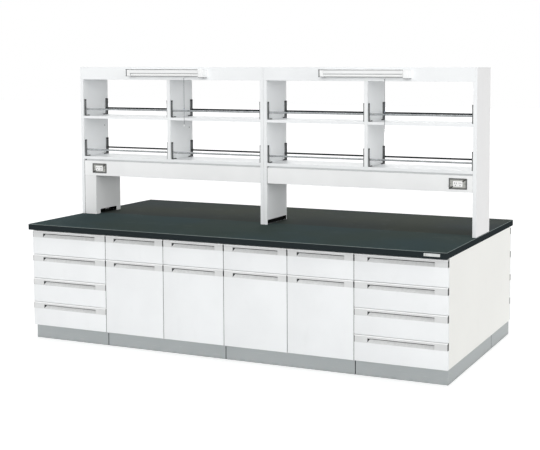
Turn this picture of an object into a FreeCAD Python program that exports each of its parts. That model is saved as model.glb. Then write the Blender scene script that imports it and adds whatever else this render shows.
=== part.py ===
import FreeCAD, Part
import math
import os

from FreeCAD import Vector

# Double-sided laboratory bench with a reagent rack along its middle.
# Millimetres. X runs along the bench, the front row of cabinets faces -Y, +Z is up.
# The origin is on the floor under the bench's centre.

# ---------------------------------------------------------------- driving dimensions

# Bench
bench_length = 3000.0
bench_depth = 1500.0
bench_height = 800.0
worktop_thickness = 40.0
worktop_edge_radius = 2.5
worktop_front_overhang = 40.0
worktop_end_overhang = 3.0
worktop_joint_y = -62.0           # lengthwise joint between the front and rear slabs

# Plinth and feet
plinth_height = 95.0
plinth_thickness = 15.0
plinth_front_setback = 25.0       # behind the cabinet fronts
plinth_end_setback = 4.0          # behind the bench's end panels
plinth_joint_gap = 1.0
end_plinth_joint_y = 240.0
foot_base_radius = 25.0
foot_waist_radius = 14.0
foot_flange_radius = 29.0
foot_disc_height = 9.0
foot_inset_x = 65.0
foot_inset_y = 85.0

# Cabinets
drawer_unit_width = 600.0         # the two units at the bench's ends
board = 18.0
back_board = 6.0
service_void = 180.0              # between the backs of the two rows
rail_depth = 80.0
cupboard_shelf_setback = 30.0
cupboard_shelf_play = 1.0
shelf_support_length = 8.0
shelf_support_height = 6.0
shelf_support_depth = 10.0
shelf_support_inset = 60.0

# Fronts
rows = 4
front_thickness = 18.5
front_air_gap = 1.5               # between a front's back and the carcass
front_gap = 3.0                   # between neighbouring fronts
front_top_reveal = 10.0           # under the worktop
front_edge_radius = 1.2

# Grip strip along the top of each front
grip_height = 45.0
grip_lip_height = 17.0
grip_lip_thickness = 5.0
grip_cap_thickness = 5.0
grip_back_thickness = 2.5
grip_end_play = 0.5
grip_filler_share = 0.14          # of the front's width, at each end of the finger recess
grip_relief = 2.0                 # cap and filler stop this short at a door's hinged end
grip_back_relief = 9.0            # and the strip's back stops this short

# Drawer boxes and runners
drawer_board = 12.0
drawer_bottom = 6.0
drawer_bottom_rise = 6.0
drawer_box_low = 25.0             # above the front's lower edge
drawer_box_high = 27.0            # below the front's upper edge
drawer_back_drop = 8.0
drawer_rear_room = 94.0           # behind the drawer box
runner_space = 13.0               # each side of the drawer box
runner_height = 40.0
runner_sheet = 2.0
runner_flange = 10.0
runner_play = 0.3
runner_start = 2.0                # behind the carcass's front edge
runner_rise = 35.0                # its middle above the box's lower edge
runner_bar_thickness = 5.0
runner_bar_setback = 10.0
runner_bar_short = 20.0

# Door hinges: a pivot pin at the top and bottom of each door
pivot_inset = 9.0                 # from the door's hinged edge
pivot_depth = 5.0                 # behind the door's face
pivot_radius = 2.0
pivot_play = 0.1
pivot_overlap = 0.2               # pin past the bracket
bracket_thickness = 2.0
bracket_air = 0.5                 # between the bracket and the door
bracket_leg_thickness = 1.0
bracket_leg_height = 12.0
bracket_front_reach = 3.5         # from the pin's axis towards the door's face
bracket_outer_reach = 6.0
bracket_inner_reach = 8.0
door_back_chamfer = 7.0

# Rack
rack_depth = 300.0
rack_end_setback = 3.0
rack_top_above_worktop = 1070.0
module_gap = 1.0                  # between the two rack modules
upright_thickness = 25.0
end_foot_length = 50.0
centre_foot_length = 8.0
upright_foot_height = 31.0
fascia_height = 90.0
fascia_thickness = 18.0
duct_bottom_above_worktop = 283.0
duct_height = 107.0
duct_sheet = 2.0
spacer_height = 11.0
spacer_setback = 15.0
spacer_width = 20.0
lower_shelf_thickness = 20.0
upper_shelf_above_worktop = 697.0
upper_shelf_thickness = 19.0
shelf_front_setback = 1.0
riser_width = 100.0

# Guard rails
rod_radius = 6.0
rod_above_shelf = 48.0
rod_from_middle = 130.0
post_width = 10.0
post_depth = 28.0                  # of the leg against the panel
post_web = 2.5
post_flange = 3.0
post_from_middle = 139.5           # the flange's outer face
post_height = 120.0
post_foot_length = 52.0            # along the shelf's depth, towards its middle
post_foot_thickness = 5.0

# Power outlets on the duct
plate_width = 120.0
plate_height = 70.0
plate_thickness = 3.0
plate_corner = 4.0
left_plate_inset = 158.0          # from the left module's outer end to the plate's middle
right_plate_inset = 121.0         # from the right module's outer end
socket_width = 62.0
socket_height = 36.0
socket_thickness = 4.0
socket_corner = 3.0
socket_pitch = 31.0
blade_slot_width = 2.5
blade_slot_height = 8.0
blade_slot_pitch = 12.0
blade_slot_depth = 3.0
earth_hole_radius = 2.4
earth_hole_drop = 10.0

# Lamps
lamp_length = 628.0
lamp_depth = 65.0
lamp_top_below_fascia_top = 15.0
lamp_housing_height = 24.0
lamp_cap_length = 38.0
lamp_cap_height = 51.0
lamp_cap_setback = 2.0
lamp_corner = 4.0
tube_radius = 12.5
tube_gap = 0.5                    # under the housing
tube_from_fascia = 38.0
switch_offset = 136.0             # from the lamp's middle
switch_from_fascia = 15.0
switch_radius = 7.0
switch_height = 34.0
switch_bore_depth = 22.0
stem_radius = 2.6
stem_play = 0.08
stem_length = 18.0
cord_radius = 1.25
cord_bow = 1.5                    # how far the hanging cord strays sideways
knob_radius = 5.5
knob_height = 14.0
knob_neck_radius = 2.2
cord_drop = 327.0                 # from the switch to the knob
cord_arc_share = 0.45             # of the run beside it that an arc takes up
bead_above_knob = 112.0
bead_radius = 3.6
bead_end_radius = 2.0
bead_height = 9.0

cutter_extra = 1.0                # how far a cutting tool runs past the face it starts at

# ---------------------------------------------------------------- worked-out places

half_length = bench_length / 2
half_depth = bench_depth / 2
worktop_underside = bench_height - worktop_thickness
body_end = half_length - worktop_end_overhang
door_unit_width = half_length - drawer_unit_width

face_y = -(half_depth - worktop_front_overhang)
front_back_y = face_y + front_thickness
carcass_y = front_back_y + front_air_gap
carcass_rear_y = -service_void / 2

fronts_top = worktop_underside - front_top_reveal
row_pitch = (fronts_top - plinth_height + front_gap) / rows
front_height = row_pitch - front_gap
dust_board_z = fronts_top - row_pitch + front_gap / 2 - board / 2

drawer_length = carcass_rear_y - back_board - front_back_y - drawer_rear_room
runner_length = drawer_length

rack_top = bench_height + rack_top_above_worktop
rack_end = half_length - rack_end_setback
rack_half_depth = rack_depth / 2
skin = upright_thickness / 2
fascia_bottom = rack_top - fascia_height
duct_bottom = bench_height + duct_bottom_above_worktop
duct_top = duct_bottom + duct_height
lower_shelf_bottom = duct_top + spacer_height
lower_shelf_top = lower_shelf_bottom + lower_shelf_thickness
upper_shelf_bottom = bench_height + upper_shelf_above_worktop
upper_shelf_top = upper_shelf_bottom + upper_shelf_thickness
module_inner_end = rack_end - upright_thickness
module_inner_start = module_gap / 2 + upright_thickness
module_middle = (module_inner_end + module_inner_start) / 2
lamp_top = rack_top - lamp_top_below_fascia_top


# ---------------------------------------------------------------- helpers

def block(x0, x1, y0, y1, z0, z1):
    """A rectangular board between two corners, given in either order along X."""
    left, right = min(x0, x1), max(x0, x1)
    return Part.makeBox(right - left, y1 - y0, z1 - z0, Vector(left, y0, z0))


def prism(profile, direction):
    """The closed outline `profile`, a list of points, pushed along `direction`."""
    outline = Part.makePolygon(list(profile) + [profile[0]])
    return Part.Face(outline).extrude(direction)


def rod(start, direction, radius, length):
    """A round bar."""
    return Part.makeCylinder(radius, length, start, direction)


def turned(solids):
    """Copies turned half round the vertical axis, from the front row to the rear row."""
    return [solid.rotated(Vector(0, 0, 0), Vector(0, 0, 1), 180) for solid in solids]


def mirrored(solids):
    """Copies mirrored across the bench's middle, from its left half to its right half."""
    return [solid.mirror(Vector(0, 0, 0), Vector(1, 0, 0)) for solid in solids]


def edges_where(solid, test):
    """The edges of a solid whose middle passes a test."""
    return [edge for edge in solid.Edges if test(edge.BoundBox)]


def flat_at(low, high, place):
    """True where an edge's box is flat at one coordinate."""
    return abs(low - place) < 1e-6 and abs(high - place) < 1e-6


def save(node, solids):
    """Writes one sub-part, a group of separate solids."""
    Part.makeCompound(solids).exportStep("parts/" + node + ".step")
    print(node, len(solids), "solids")


# ---------------------------------------------------------------- worktop

def worktop_slabs():
    """The four slabs, cut from one top whose upper outer edges are rounded."""
    top = block(-half_length, half_length, -half_depth, half_depth, worktop_underside, bench_height)
    rim = edges_where(top, lambda box: flat_at(box.ZMin, box.ZMax, bench_height))
    top = top.makeFillet(worktop_edge_radius, rim)
    slabs = []
    for y0, y1 in ((-half_depth, worktop_joint_y), (worktop_joint_y, half_depth)):
        for x0, x1 in ((-half_length, 0), (0, half_length)):
            slabs.append(top.common(block(x0, x1, y0, y1, worktop_underside, bench_height)))
    return slabs


# ---------------------------------------------------------------- carcasses

def unit_places():
    """Start and end of the front row's four units, from left to right."""
    stops = [-(body_end - board), -door_unit_width, 0, door_unit_width, body_end - board]
    return list(zip(stops[:-1], stops[1:]))


def carcass(x0, x1):
    """Sides, bottom, back and top rails of one cabinet."""
    inner0, inner1 = x0 + board, x1 - board
    rail_z = worktop_underside - board
    inner_back = carcass_rear_y - back_board
    floor_z = plinth_height + board
    return [
        block(x0, inner0, carcass_y, carcass_rear_y, plinth_height, worktop_underside),
        block(inner1, x1, carcass_y, carcass_rear_y, plinth_height, worktop_underside),
        block(inner0, inner1, carcass_y, carcass_rear_y, plinth_height, floor_z),
        block(inner0, inner1, inner_back, carcass_rear_y, floor_z, worktop_underside),
        block(inner0, inner1, carcass_y, carcass_y + rail_depth, rail_z, worktop_underside),
        block(inner0, inner1, inner_back - rail_depth, inner_back, rail_z, worktop_underside),
    ]


def door_carcass(x0, x1):
    """A cabinet with a dust board over its cupboard, and a partition between its two drawers."""
    middle = (x0 + x1) / 2
    inner_back = carcass_rear_y - back_board
    dust = block(x0 + board, x1 - board, carcass_y, inner_back, dust_board_z, dust_board_z + board)
    partition = block(middle - board / 2, middle + board / 2, carcass_y, inner_back,
                      dust_board_z + board, worktop_underside - board)
    return carcass(x0, x1) + [dust, partition]


def cupboard_shelf(x0, x1):
    """The loose shelf of one cupboard and the four supports under it."""
    inner0, inner1 = x0 + board, x1 - board
    shelf_z = (plinth_height + board + dust_board_z) / 2 - board / 2
    front = carcass_y + cupboard_shelf_setback
    rear = carcass_rear_y - back_board - cupboard_shelf_play
    pieces = [block(inner0 + cupboard_shelf_play, inner1 - cupboard_shelf_play, front, rear,
                    shelf_z, shelf_z + board)]
    for y in (front + shelf_support_inset, rear - shelf_support_inset):
        for x, side in ((inner0, 1), (inner1, -1)):
            pieces.append(block(x, x + side * shelf_support_length, y - shelf_support_depth / 2,
                                y + shelf_support_depth / 2, shelf_z - shelf_support_height, shelf_z))
    return pieces


def end_panels():
    """The white panels that close the bench's two ends over its full depth."""
    return [block(side * (body_end - board), side * body_end, carcass_y, -carcass_y,
                  plinth_height, worktop_underside) for side in (-1, 1)]


# ---------------------------------------------------------------- plinth and feet

def plinth_boards():
    """Front boards jointed at each unit, and the boards of one end, then their turned copies."""
    front = face_y + plinth_front_setback
    end = body_end - plinth_end_setback
    back = front + plinth_thickness
    half_joint = plinth_joint_gap / 2
    stops = [-end, -door_unit_width, 0, door_unit_width, end]
    boards = []
    for x0, x1 in zip(stops[:-1], stops[1:]):
        start = x0 if x0 == -end else x0 + half_joint
        stop = x1 if x1 == end else x1 - half_joint
        boards.append(block(start, stop, front, back, 0, plinth_height))
    for y0, y1 in ((back, end_plinth_joint_y - half_joint), (end_plinth_joint_y + half_joint, -back)):
        boards.append(block(end - plinth_thickness, end, y0, y1, 0, plinth_height))
    return boards + turned(boards)


def levelling_foot(x, y):
    """A round cabinet leg with a wide base and a wide flange."""
    waist_top = plinth_height - foot_disc_height
    half_section = [Vector(0, 0, 0), Vector(foot_base_radius, 0, 0),
                    Vector(foot_base_radius, 0, foot_disc_height / 2),
                    Vector(foot_waist_radius, 0, foot_disc_height), Vector(foot_waist_radius, 0, waist_top),
                    Vector(foot_flange_radius, 0, waist_top), Vector(foot_flange_radius, 0, plinth_height),
                    Vector(0, 0, plinth_height)]
    section = Part.Face(Part.makePolygon(half_section + [half_section[0]]))
    leg = section.revolve(Vector(0, 0, 0), Vector(0, 0, 1), 360)
    leg.translate(Vector(x, y, 0))
    return leg


def levelling_feet():
    """Four feet under each cabinet."""
    feet = []
    for x0, x1 in unit_places():
        for x in (x0 + foot_inset_x, x1 - foot_inset_x):
            for y in (carcass_y + foot_inset_y, carcass_rear_y - foot_inset_y):
                feet.append(levelling_foot(x, y))
    return feet + turned(feet)


# ---------------------------------------------------------------- fronts

def front_panel(x0, x1, z0, z1):
    """A white front with its face's edges slightly rounded."""
    panel = block(x0, x1, face_y, front_back_y, z0, z1)
    face_edges = edges_where(panel, lambda box: flat_at(box.YMin, box.YMax, face_y))
    return panel.makeFillet(front_edge_radius, face_edges)


def grip_strip(x0, x1, top, relief=None):
    """The strip along a front's top: back, cap, lip, two end fillers and the ramp between them.

    `relief` names the hinged end, where all but the lip stop short of the pivot's sweep.
    """
    start, stop = x0 + grip_end_play, x1 - grip_end_play
    filler = grip_filler_share * (x1 - x0)
    recess0, recess1 = start + filler, stop - filler
    bottom = top - grip_height
    lip_z = top - grip_lip_height
    cap_z = top - grip_cap_thickness
    lip_y = face_y + grip_lip_thickness
    web_y = front_back_y - grip_back_thickness
    at_left, at_right = float(relief == "left"), float(relief == "right")
    back0, back1 = start + at_left * grip_back_relief, stop - at_right * grip_back_relief
    body0, body1 = start + at_left * grip_relief, stop - at_right * grip_relief
    ramp = [Vector(recess0, face_y, bottom), Vector(recess0, web_y, bottom), Vector(recess0, web_y, lip_z)]
    return [
        block(back0, back1, web_y, front_back_y, bottom, top),
        block(body0, body1, lip_y, web_y, cap_z, top),
        block(start, stop, face_y, lip_y, lip_z, top),
        block(body0, recess0, face_y, web_y, bottom, lip_z),
        block(recess1, body1, face_y, web_y, bottom, lip_z),
        prism(ramp, Vector(recess1 - recess0, 0, 0)),
    ]


def drawer(front0, front1, room0, room1, z0):
    """One drawer: front, grip strip, box and runner bars, closed. room0..room1 is the clear opening."""
    z1 = z0 + front_height
    side0, side1 = room0 + runner_space, room1 - runner_space
    inner0, inner1 = side0 + drawer_board, side1 - drawer_board
    low, high = z0 + drawer_box_low, z1 - drawer_box_high
    start, stop = front_back_y, front_back_y + drawer_length
    inner_stop = stop - drawer_board
    bottom_z = low + drawer_bottom_rise
    runner_z = low + runner_rise
    reach = runner_height / 2 - runner_sheet - runner_play
    bar0, bar1 = start + runner_bar_setback, stop - (runner_bar_short - runner_bar_setback)
    box = [
        block(side0, inner0, start, stop, low, high),
        block(inner1, side1, start, stop, low, high),
        block(inner0, inner1, start, start + drawer_board, low, high),
        block(inner0, inner1, inner_stop, stop, low, high - drawer_back_drop),
        block(inner0, inner1, start + drawer_board, inner_stop, bottom_z, bottom_z + drawer_bottom),
    ]
    bars = [
        block(side0 - runner_bar_thickness, side0, bar0, bar1, runner_z - reach, runner_z + reach),
        block(side1, side1 + runner_bar_thickness, bar0, bar1, runner_z - reach, runner_z + reach),
    ]
    front = [front_panel(front0, front1, z0, z1 - grip_height)]
    return front + grip_strip(front0, front1, z1) + box + bars


def runner_channel(x, side, z0):
    """The C-shaped member on a cabinet side, open towards the drawer. side is +1 or -1."""
    middle = z0 + drawer_box_low + runner_rise
    half = runner_height / 2
    lip = x + side * (runner_sheet + runner_flange)
    web = x + side * runner_sheet
    y = carcass_y + runner_start
    outline = [(x, -half), (lip, -half), (lip, -half + runner_sheet), (web, -half + runner_sheet),
               (web, half - runner_sheet), (lip, half - runner_sheet), (lip, half), (x, half)]
    points = [Vector(px, y, middle + pz) for px, pz in outline]
    return prism(points, Vector(0, runner_length, 0))


def door(x0, x1, hinged):
    """One door, closed, with the pivot pins at its hinged side, "left" or "right"."""
    top = fronts_top - row_pitch
    panel = front_panel(x0, x1, plinth_height, top - grip_height)
    side, edge = (1, x0) if hinged == "left" else (-1, x1)
    corner = [Vector(edge, front_back_y, plinth_height),
              Vector(edge + side * door_back_chamfer, front_back_y, plinth_height),
              Vector(edge, front_back_y - door_back_chamfer, plinth_height)]
    panel = panel.cut(prism(corner, Vector(0, 0, top - grip_height - plinth_height))).Solids[0]
    pin_length = bracket_air + bracket_thickness + pivot_overlap
    axis_x, axis_y = edge + side * pivot_inset, face_y + pivot_depth
    pins = [rod(Vector(axis_x, axis_y, top), Vector(0, 0, 1), pivot_radius, pin_length),
            rod(Vector(axis_x, axis_y, plinth_height), Vector(0, 0, -1), pivot_radius, pin_length)]
    return [panel] + grip_strip(x0, x1, top, hinged) + pins


def hinge_bracket(edge, side, z_plate, z_leg):
    """A pivot plate with its hole, and the leg that screws to the cabinet side's front edge."""
    axis_x, axis_y = edge + side * pivot_inset, face_y + pivot_depth
    x0, x1 = axis_x - side * bracket_outer_reach, axis_x + side * bracket_inner_reach
    plate = block(x0, x1, axis_y - bracket_front_reach, carcass_y, z_plate, z_plate + bracket_thickness)
    hole = rod(Vector(axis_x, axis_y, z_plate - cutter_extra), Vector(0, 0, 1),
               pivot_radius + pivot_play, bracket_thickness + 2 * cutter_extra)
    leg = block(x0, x1, carcass_y - bracket_leg_thickness, carcass_y, z_leg, z_leg + bracket_leg_height)
    return plate.cut(hole).fuse(leg).removeSplitter().Solids[0]


def hinge_brackets(edge, side):
    """The upper and lower bracket of one door."""
    upper = fronts_top - row_pitch + bracket_air
    lower = plinth_height - bracket_air - bracket_thickness
    return [hinge_bracket(edge, side, upper, upper), hinge_bracket(edge, side, lower, lower)]


# ---------------------------------------------------------------- rack

def upright(outer, inward, foot_length):
    """One panel leg: an outer skin of full height, an inner skin that stops over a cable gap, two feet.

    `outer` is its outer face, `inward` the direction of its inner face along X, and `foot_length` how far
    each foot runs in from the front or rear edge.
    """
    middle, inner = outer + inward * skin, outer + inward * upright_thickness
    foot_top = bench_height + upright_foot_height
    foot_y = rack_half_depth - foot_length
    return [
        block(outer, middle, -rack_half_depth, rack_half_depth, bench_height, rack_top),
        block(middle, inner, -rack_half_depth, rack_half_depth, foot_top, fascia_bottom),
        block(middle, inner, -rack_half_depth, -foot_y, bench_height, foot_top),
        block(middle, inner, foot_y, rack_half_depth, bench_height, foot_top),
    ]


def canopy():
    """Front and rear fascia and the top board of the left module."""
    x0, x1 = -(rack_end - skin), -(module_gap / 2 + skin)
    inner = rack_half_depth - fascia_thickness
    return [
        block(x0, x1, -rack_half_depth, -inner, fascia_bottom, rack_top),
        block(x0, x1, inner, rack_half_depth, fascia_bottom, rack_top),
        block(x0, x1, -inner, inner, rack_top - fascia_thickness, rack_top),
    ]


def divider():
    """The panel that halves the left module, from the lower shelf to the fascia."""
    half = upright_thickness / 2
    return [block(-module_middle - half, -module_middle + half, -rack_half_depth, rack_half_depth,
                  lower_shelf_top, fascia_bottom)]


def bays():
    """Start and end along X of the left module's two bays."""
    half = upright_thickness / 2
    return [(-module_inner_end, -module_middle - half), (-module_middle + half, -module_inner_start)]


def shelf_boards():
    """The left module's lower shelf and its two upper shelves."""
    y = rack_half_depth - shelf_front_setback
    boards = [block(-module_inner_end, -module_inner_start, -y, y, lower_shelf_bottom, lower_shelf_top)]
    for x0, x1 in bays():
        boards.append(block(x0, x1, -y, y, upper_shelf_bottom, upper_shelf_top))
    return boards


def service_duct():
    """The left module's duct: two covers, two trays, and the spacer rails over it."""
    x0, x1 = -module_inner_end, -module_inner_start
    inner = rack_half_depth - duct_sheet
    spacer_y = rack_half_depth - spacer_setback
    return [
        block(x0, x1, -rack_half_depth, -inner, duct_bottom, duct_top),
        block(x0, x1, inner, rack_half_depth, duct_bottom, duct_top),
        block(x0, x1, -inner, inner, duct_bottom, duct_bottom + duct_sheet),
        block(x0, x1, -inner, inner, duct_top - duct_sheet, duct_top),
        block(x0, x1, -spacer_y, -spacer_y + spacer_width, duct_top, lower_shelf_bottom),
        block(x0, x1, spacer_y - spacer_width, spacer_y, duct_top, lower_shelf_bottom),
    ]


def riser_duct():
    """The sheet cover beside the left end leg that takes cables from the bench up to the duct."""
    x0 = -module_inner_end
    x1 = x0 + riser_width
    inner = rack_half_depth - duct_sheet
    foot_top = bench_height + upright_foot_height
    foot_y = rack_half_depth - end_foot_length
    return [
        block(x0, x1, -rack_half_depth, -inner, bench_height, duct_bottom),
        block(x0, x1, inner, rack_half_depth, bench_height, duct_bottom),
        block(x1 - duct_sheet, x1, -inner, inner, foot_top, duct_bottom),
        block(x1 - duct_sheet, x1, -inner, -foot_y, bench_height, foot_top),
        block(x1 - duct_sheet, x1, foot_y, inner, bench_height, foot_top),
    ]


# ---------------------------------------------------------------- guard rails

def guard_post(x, inward, side, z):
    """An angle post against a panel at x, and the foot plate that holds it on the shelf at z.

    `side` is -1 for the front row and 1 for the rear row. The flange stands at the row's outer side.
    """
    web, far = x + inward * post_web, x + inward * post_width
    outer = side * post_from_middle
    flange, back = outer - side * post_flange, outer - side * post_depth
    section = [Vector(x, outer, z), Vector(far, outer, z), Vector(far, flange, z),
               Vector(web, flange, z), Vector(web, back, z), Vector(x, back, z)]
    foot0, foot1 = sorted((flange, flange - side * post_foot_length))
    return [prism(section, Vector(0, 0, post_height)),
            block(web, far, foot0, foot1, z, z + post_foot_thickness)]


def guard_rails():
    """Rods and posts of the left module: front and rear, on both shelves, in both bays."""
    rods, posts = [], []
    for z in (lower_shelf_top, upper_shelf_top):
        for x0, x1 in bays():
            for side in (-1, 1):
                posts += guard_post(x0, 1, side, z) + guard_post(x1, -1, side, z)
                start = Vector(x0 + post_web, side * rod_from_middle, z + rod_above_shelf)
                rods.append(rod(start, Vector(1, 0, 0), rod_radius, x1 - x0 - 2 * post_web))
    return rods, posts


# ---------------------------------------------------------------- outlets

def rounded_plate(x, z, width, height, y0, y1, corner):
    """An upright plate with round corners, its middle at x, z."""
    plate = block(x - width / 2, x + width / 2, y0, y1, z - height / 2, z + height / 2)
    upright_edges = edges_where(plate, lambda box: box.YMax - box.YMin > (y1 - y0) / 2)
    return plate.makeFillet(corner, upright_edges)


def outlet(x):
    """The metal plate and the double socket insert at x on the duct's front cover."""
    z = (duct_bottom + duct_top) / 2
    plate_y = -rack_half_depth - plate_thickness
    socket_y = plate_y - socket_thickness
    plate = rounded_plate(x, z, plate_width, plate_height, plate_y, -rack_half_depth, plate_corner)
    insert = rounded_plate(x, z, socket_width, socket_height, socket_y, plate_y, socket_corner)
    slot_end = socket_y + blade_slot_depth
    for middle in (x - socket_pitch / 2, x + socket_pitch / 2):
        for side in (-1, 1):
            slot_x = middle + side * blade_slot_pitch / 2
            insert = insert.cut(block(slot_x - blade_slot_width / 2, slot_x + blade_slot_width / 2,
                                      socket_y - cutter_extra, slot_end, z, z + blade_slot_height))
        insert = insert.cut(rod(Vector(middle, slot_end, z - earth_hole_drop), Vector(0, -1, 0),
                                earth_hole_radius, blade_slot_depth + cutter_extra))
    return plate, insert.Solids[0]


# ---------------------------------------------------------------- lamps

def lamp(middle):
    """Housing, tube, two end caps and pull-switch boss of the lamp whose middle is at x."""
    end = lamp_length / 2
    inner = end - lamp_cap_length
    face = -rack_half_depth
    housing = block(middle - inner, middle + inner, face - lamp_depth, face,
                    lamp_top - lamp_housing_height, lamp_top)
    outer_edges = edges_where(housing, lambda box: flat_at(box.YMin, box.YMax, face - lamp_depth)
                              and box.XMax - box.XMin > inner)
    housing = housing.makeFillet(lamp_corner, outer_edges)
    caps = []
    for side in (-1, 1):
        cap = block(middle + side * inner, middle + side * end, face - lamp_depth + lamp_cap_setback,
                    face, lamp_top - lamp_cap_height, lamp_top)
        front_edges = edges_where(cap, lambda box: flat_at(box.YMin, box.YMax,
                                                           face - lamp_depth + lamp_cap_setback))
        caps.append(cap.makeFillet(lamp_corner, front_edges))
    tube_z = lamp_top - lamp_housing_height - tube_gap - tube_radius
    tube = rod(Vector(middle - inner, face - tube_from_fascia, tube_z), Vector(1, 0, 0),
               tube_radius, 2 * inner)
    boss_top = lamp_top - lamp_housing_height
    boss_at = Vector(middle + switch_offset, face - switch_from_fascia, boss_top)
    boss = rod(boss_at, Vector(0, 0, -1), switch_radius, switch_height)
    mouth = boss_at - Vector(0, 0, switch_height)
    boss = boss.cut(rod(mouth - Vector(0, 0, cutter_extra), Vector(0, 0, 1), stem_radius + stem_play,
                        switch_bore_depth + cutter_extra))
    return housing, tube, caps + [boss.Solids[0]], mouth


def cord_route(exit_point):
    """The hanging cord: nearly straight under the knob's weight, with a slight bow."""
    return [exit_point,
            exit_point + Vector(cord_bow, -cord_bow / 2, -cord_drop / 2),
            exit_point + Vector(0, 0, -cord_drop)]


def cord_tube(points, radius):
    """A tube along straight runs joined by arcs as large as the runs allow."""
    start, corner, stop = points
    first, second = corner - start, stop - corner
    turn = first.getAngle(second)
    reach = cord_arc_share * min(first.Length, second.Length)
    arc_radius = reach / math.tan(turn / 2)
    first.normalize()
    second.normalize()
    arc0, arc1 = corner - first * reach, corner + second * reach
    bisector = second - first
    bisector.normalize()
    centre = corner + bisector * (arc_radius / math.cos(turn / 2))
    arc_middle = centre - bisector * arc_radius
    path = Part.Wire([Part.LineSegment(start, arc0).toShape(),
                      Part.Arc(arc0, arc_middle, arc1).toShape(),
                      Part.LineSegment(arc1, stop).toShape()])
    print("cord: arc radius", round(arc_radius, 1), "length", round(path.Length, 1))
    section = Part.Wire([Part.Circle(start, first, radius).toShape()])
    tube = path.makePipeShell([section], True, True)
    print("cord: volume", round(tube.Volume, 1), "section times length",
          round(math.pi * radius ** 2 * path.Length, 1))
    return tube


def pull_knob(top):
    """The bell-shaped knob at the cord's end; `top` is where the cord meets it."""
    shoulder = knob_height / 3
    half_section = [Vector(0, 0, 0), Vector(knob_neck_radius, 0, 0), Vector(knob_radius, 0, -shoulder),
                    Vector(knob_radius, 0, -2 * shoulder), Vector(knob_neck_radius, 0, -knob_height),
                    Vector(0, 0, -knob_height)]
    section = Part.Face(Part.makePolygon(half_section + [half_section[0]]))
    knob = section.revolve(Vector(0, 0, 0), Vector(0, 0, 1), 360)
    knob.translate(top)
    return knob


def cord_bead(route):
    """The clip that joins the cord's upper and lower length, at its height on the lower run."""
    corner, stop = route[1], route[2]
    middle = stop + (corner - stop) * (bead_above_knob / (corner.z - stop.z))
    half = bead_height / 2
    half_section = [Vector(0, 0, -half), Vector(bead_end_radius, 0, -half),
                    Vector(bead_radius, 0, -half / 2), Vector(bead_radius, 0, half / 2),
                    Vector(bead_end_radius, 0, half), Vector(0, 0, half)]
    section = Part.Face(Part.makePolygon(half_section + [half_section[0]]))
    bead = section.revolve(Vector(0, 0, 0), Vector(0, 0, 1), 360)
    bead.translate(middle)
    return bead


def pull_switch(mouth):
    """Cord, the stem and knob at its two ends, and the bead on it."""
    route = cord_route(mouth)
    stem = rod(mouth, Vector(0, 0, 1), stem_radius, stem_length)
    return cord_tube(route, cord_radius), [stem, pull_knob(route[-1]), cord_bead(route)]


# ---------------------------------------------------------------- build

os.makedirs("parts", exist_ok=True)

slabs = worktop_slabs()
save("worktop_front", slabs[:2])
save("worktop_rear", slabs[2:])

units = unit_places()
end_units, door_units = [units[0], units[3]], [units[1], units[2]]
drawer_cabinets = [piece for x0, x1 in end_units for piece in carcass(x0, x1)]
door_cabinets = [piece for x0, x1 in door_units for piece in door_carcass(x0, x1)]
shelves = [piece for x0, x1 in door_units for piece in cupboard_shelf(x0, x1)]
save("carcass_drawer_units", drawer_cabinets + turned(drawer_cabinets))
save("carcass_door_units", door_cabinets + turned(door_cabinets))
save("cupboard_shelves", shelves + turned(shelves))
save("end_panels", end_panels())
save("plinth_boards", plinth_boards())
save("levelling_feet", levelling_feet())

# Every front of the row: its own width, and the clear opening behind it.
half_gap = front_gap / 2
end_places = [(-body_end, -door_unit_width - half_gap, end_units[0]),
              (door_unit_width + half_gap, body_end, end_units[1])]
middle_places = []
for x0, x1 in door_units:
    centre = (x0 + x1) / 2
    middle_places.append((x0 + half_gap, centre - half_gap, x0 + board, centre - board / 2))
    middle_places.append((centre + half_gap, x1 - half_gap, centre + board / 2, x1 - board))

channels = []
for side_name, (front0, front1, unit) in zip(("left", "right"), end_places):
    room0, room1 = unit[0] + board, unit[1] - board
    for row in range(rows):
        z0 = fronts_top - front_height - row * row_pitch
        solids = drawer(front0, front1, room0, room1, z0)
        channels += [runner_channel(room0, 1, z0), runner_channel(room1, -1, z0)]
        save(f"front_{side_name}_drawer_{row + 1}", solids)
        save(f"rear_{side_name}_drawer_{row + 1}", turned(solids))

brackets = []
for number, (front0, front1, room0, room1) in enumerate(middle_places, start=1):
    z0 = fronts_top - front_height
    solids = drawer(front0, front1, room0, room1, z0)
    channels += [runner_channel(room0, 1, z0), runner_channel(room1, -1, z0)]
    save(f"front_middle_drawer_{number}", solids)
    save(f"rear_middle_drawer_{number}", turned(solids))
    hinged = "left" if number % 2 else "right"
    solids = door(front0, front1, hinged)
    brackets += hinge_brackets(front0 if hinged == "left" else front1, 1 if hinged == "left" else -1)
    save(f"front_door_{number}", solids)
    save(f"rear_door_{number}", turned(solids))

save("drawer_runners", channels + turned(channels))
save("door_hinges", brackets + turned(brackets))

left_end = upright(-rack_end, 1, end_foot_length)
left_centre = upright(-module_gap / 2, -1, centre_foot_length)
save("rack_end_panels", left_end + mirrored(left_end))
save("rack_centre_panels", left_centre + mirrored(left_centre))
for node, solids in (("rack_canopy", canopy()), ("rack_dividers", divider()),
                     ("rack_shelf_boards", shelf_boards()), ("service_duct", service_duct())):
    save(node, solids + mirrored(solids))
save("riser_duct", riser_duct())

rods, posts = guard_rails()
save("guard_rods", rods + mirrored(rods))
save("guard_posts", posts + mirrored(posts))

plates, inserts = zip(outlet(-rack_end + left_plate_inset), outlet(rack_end - right_plate_inset))
save("outlet_plates", list(plates) + turned(plates))
save("outlet_sockets", list(inserts) + turned(inserts))

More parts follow.
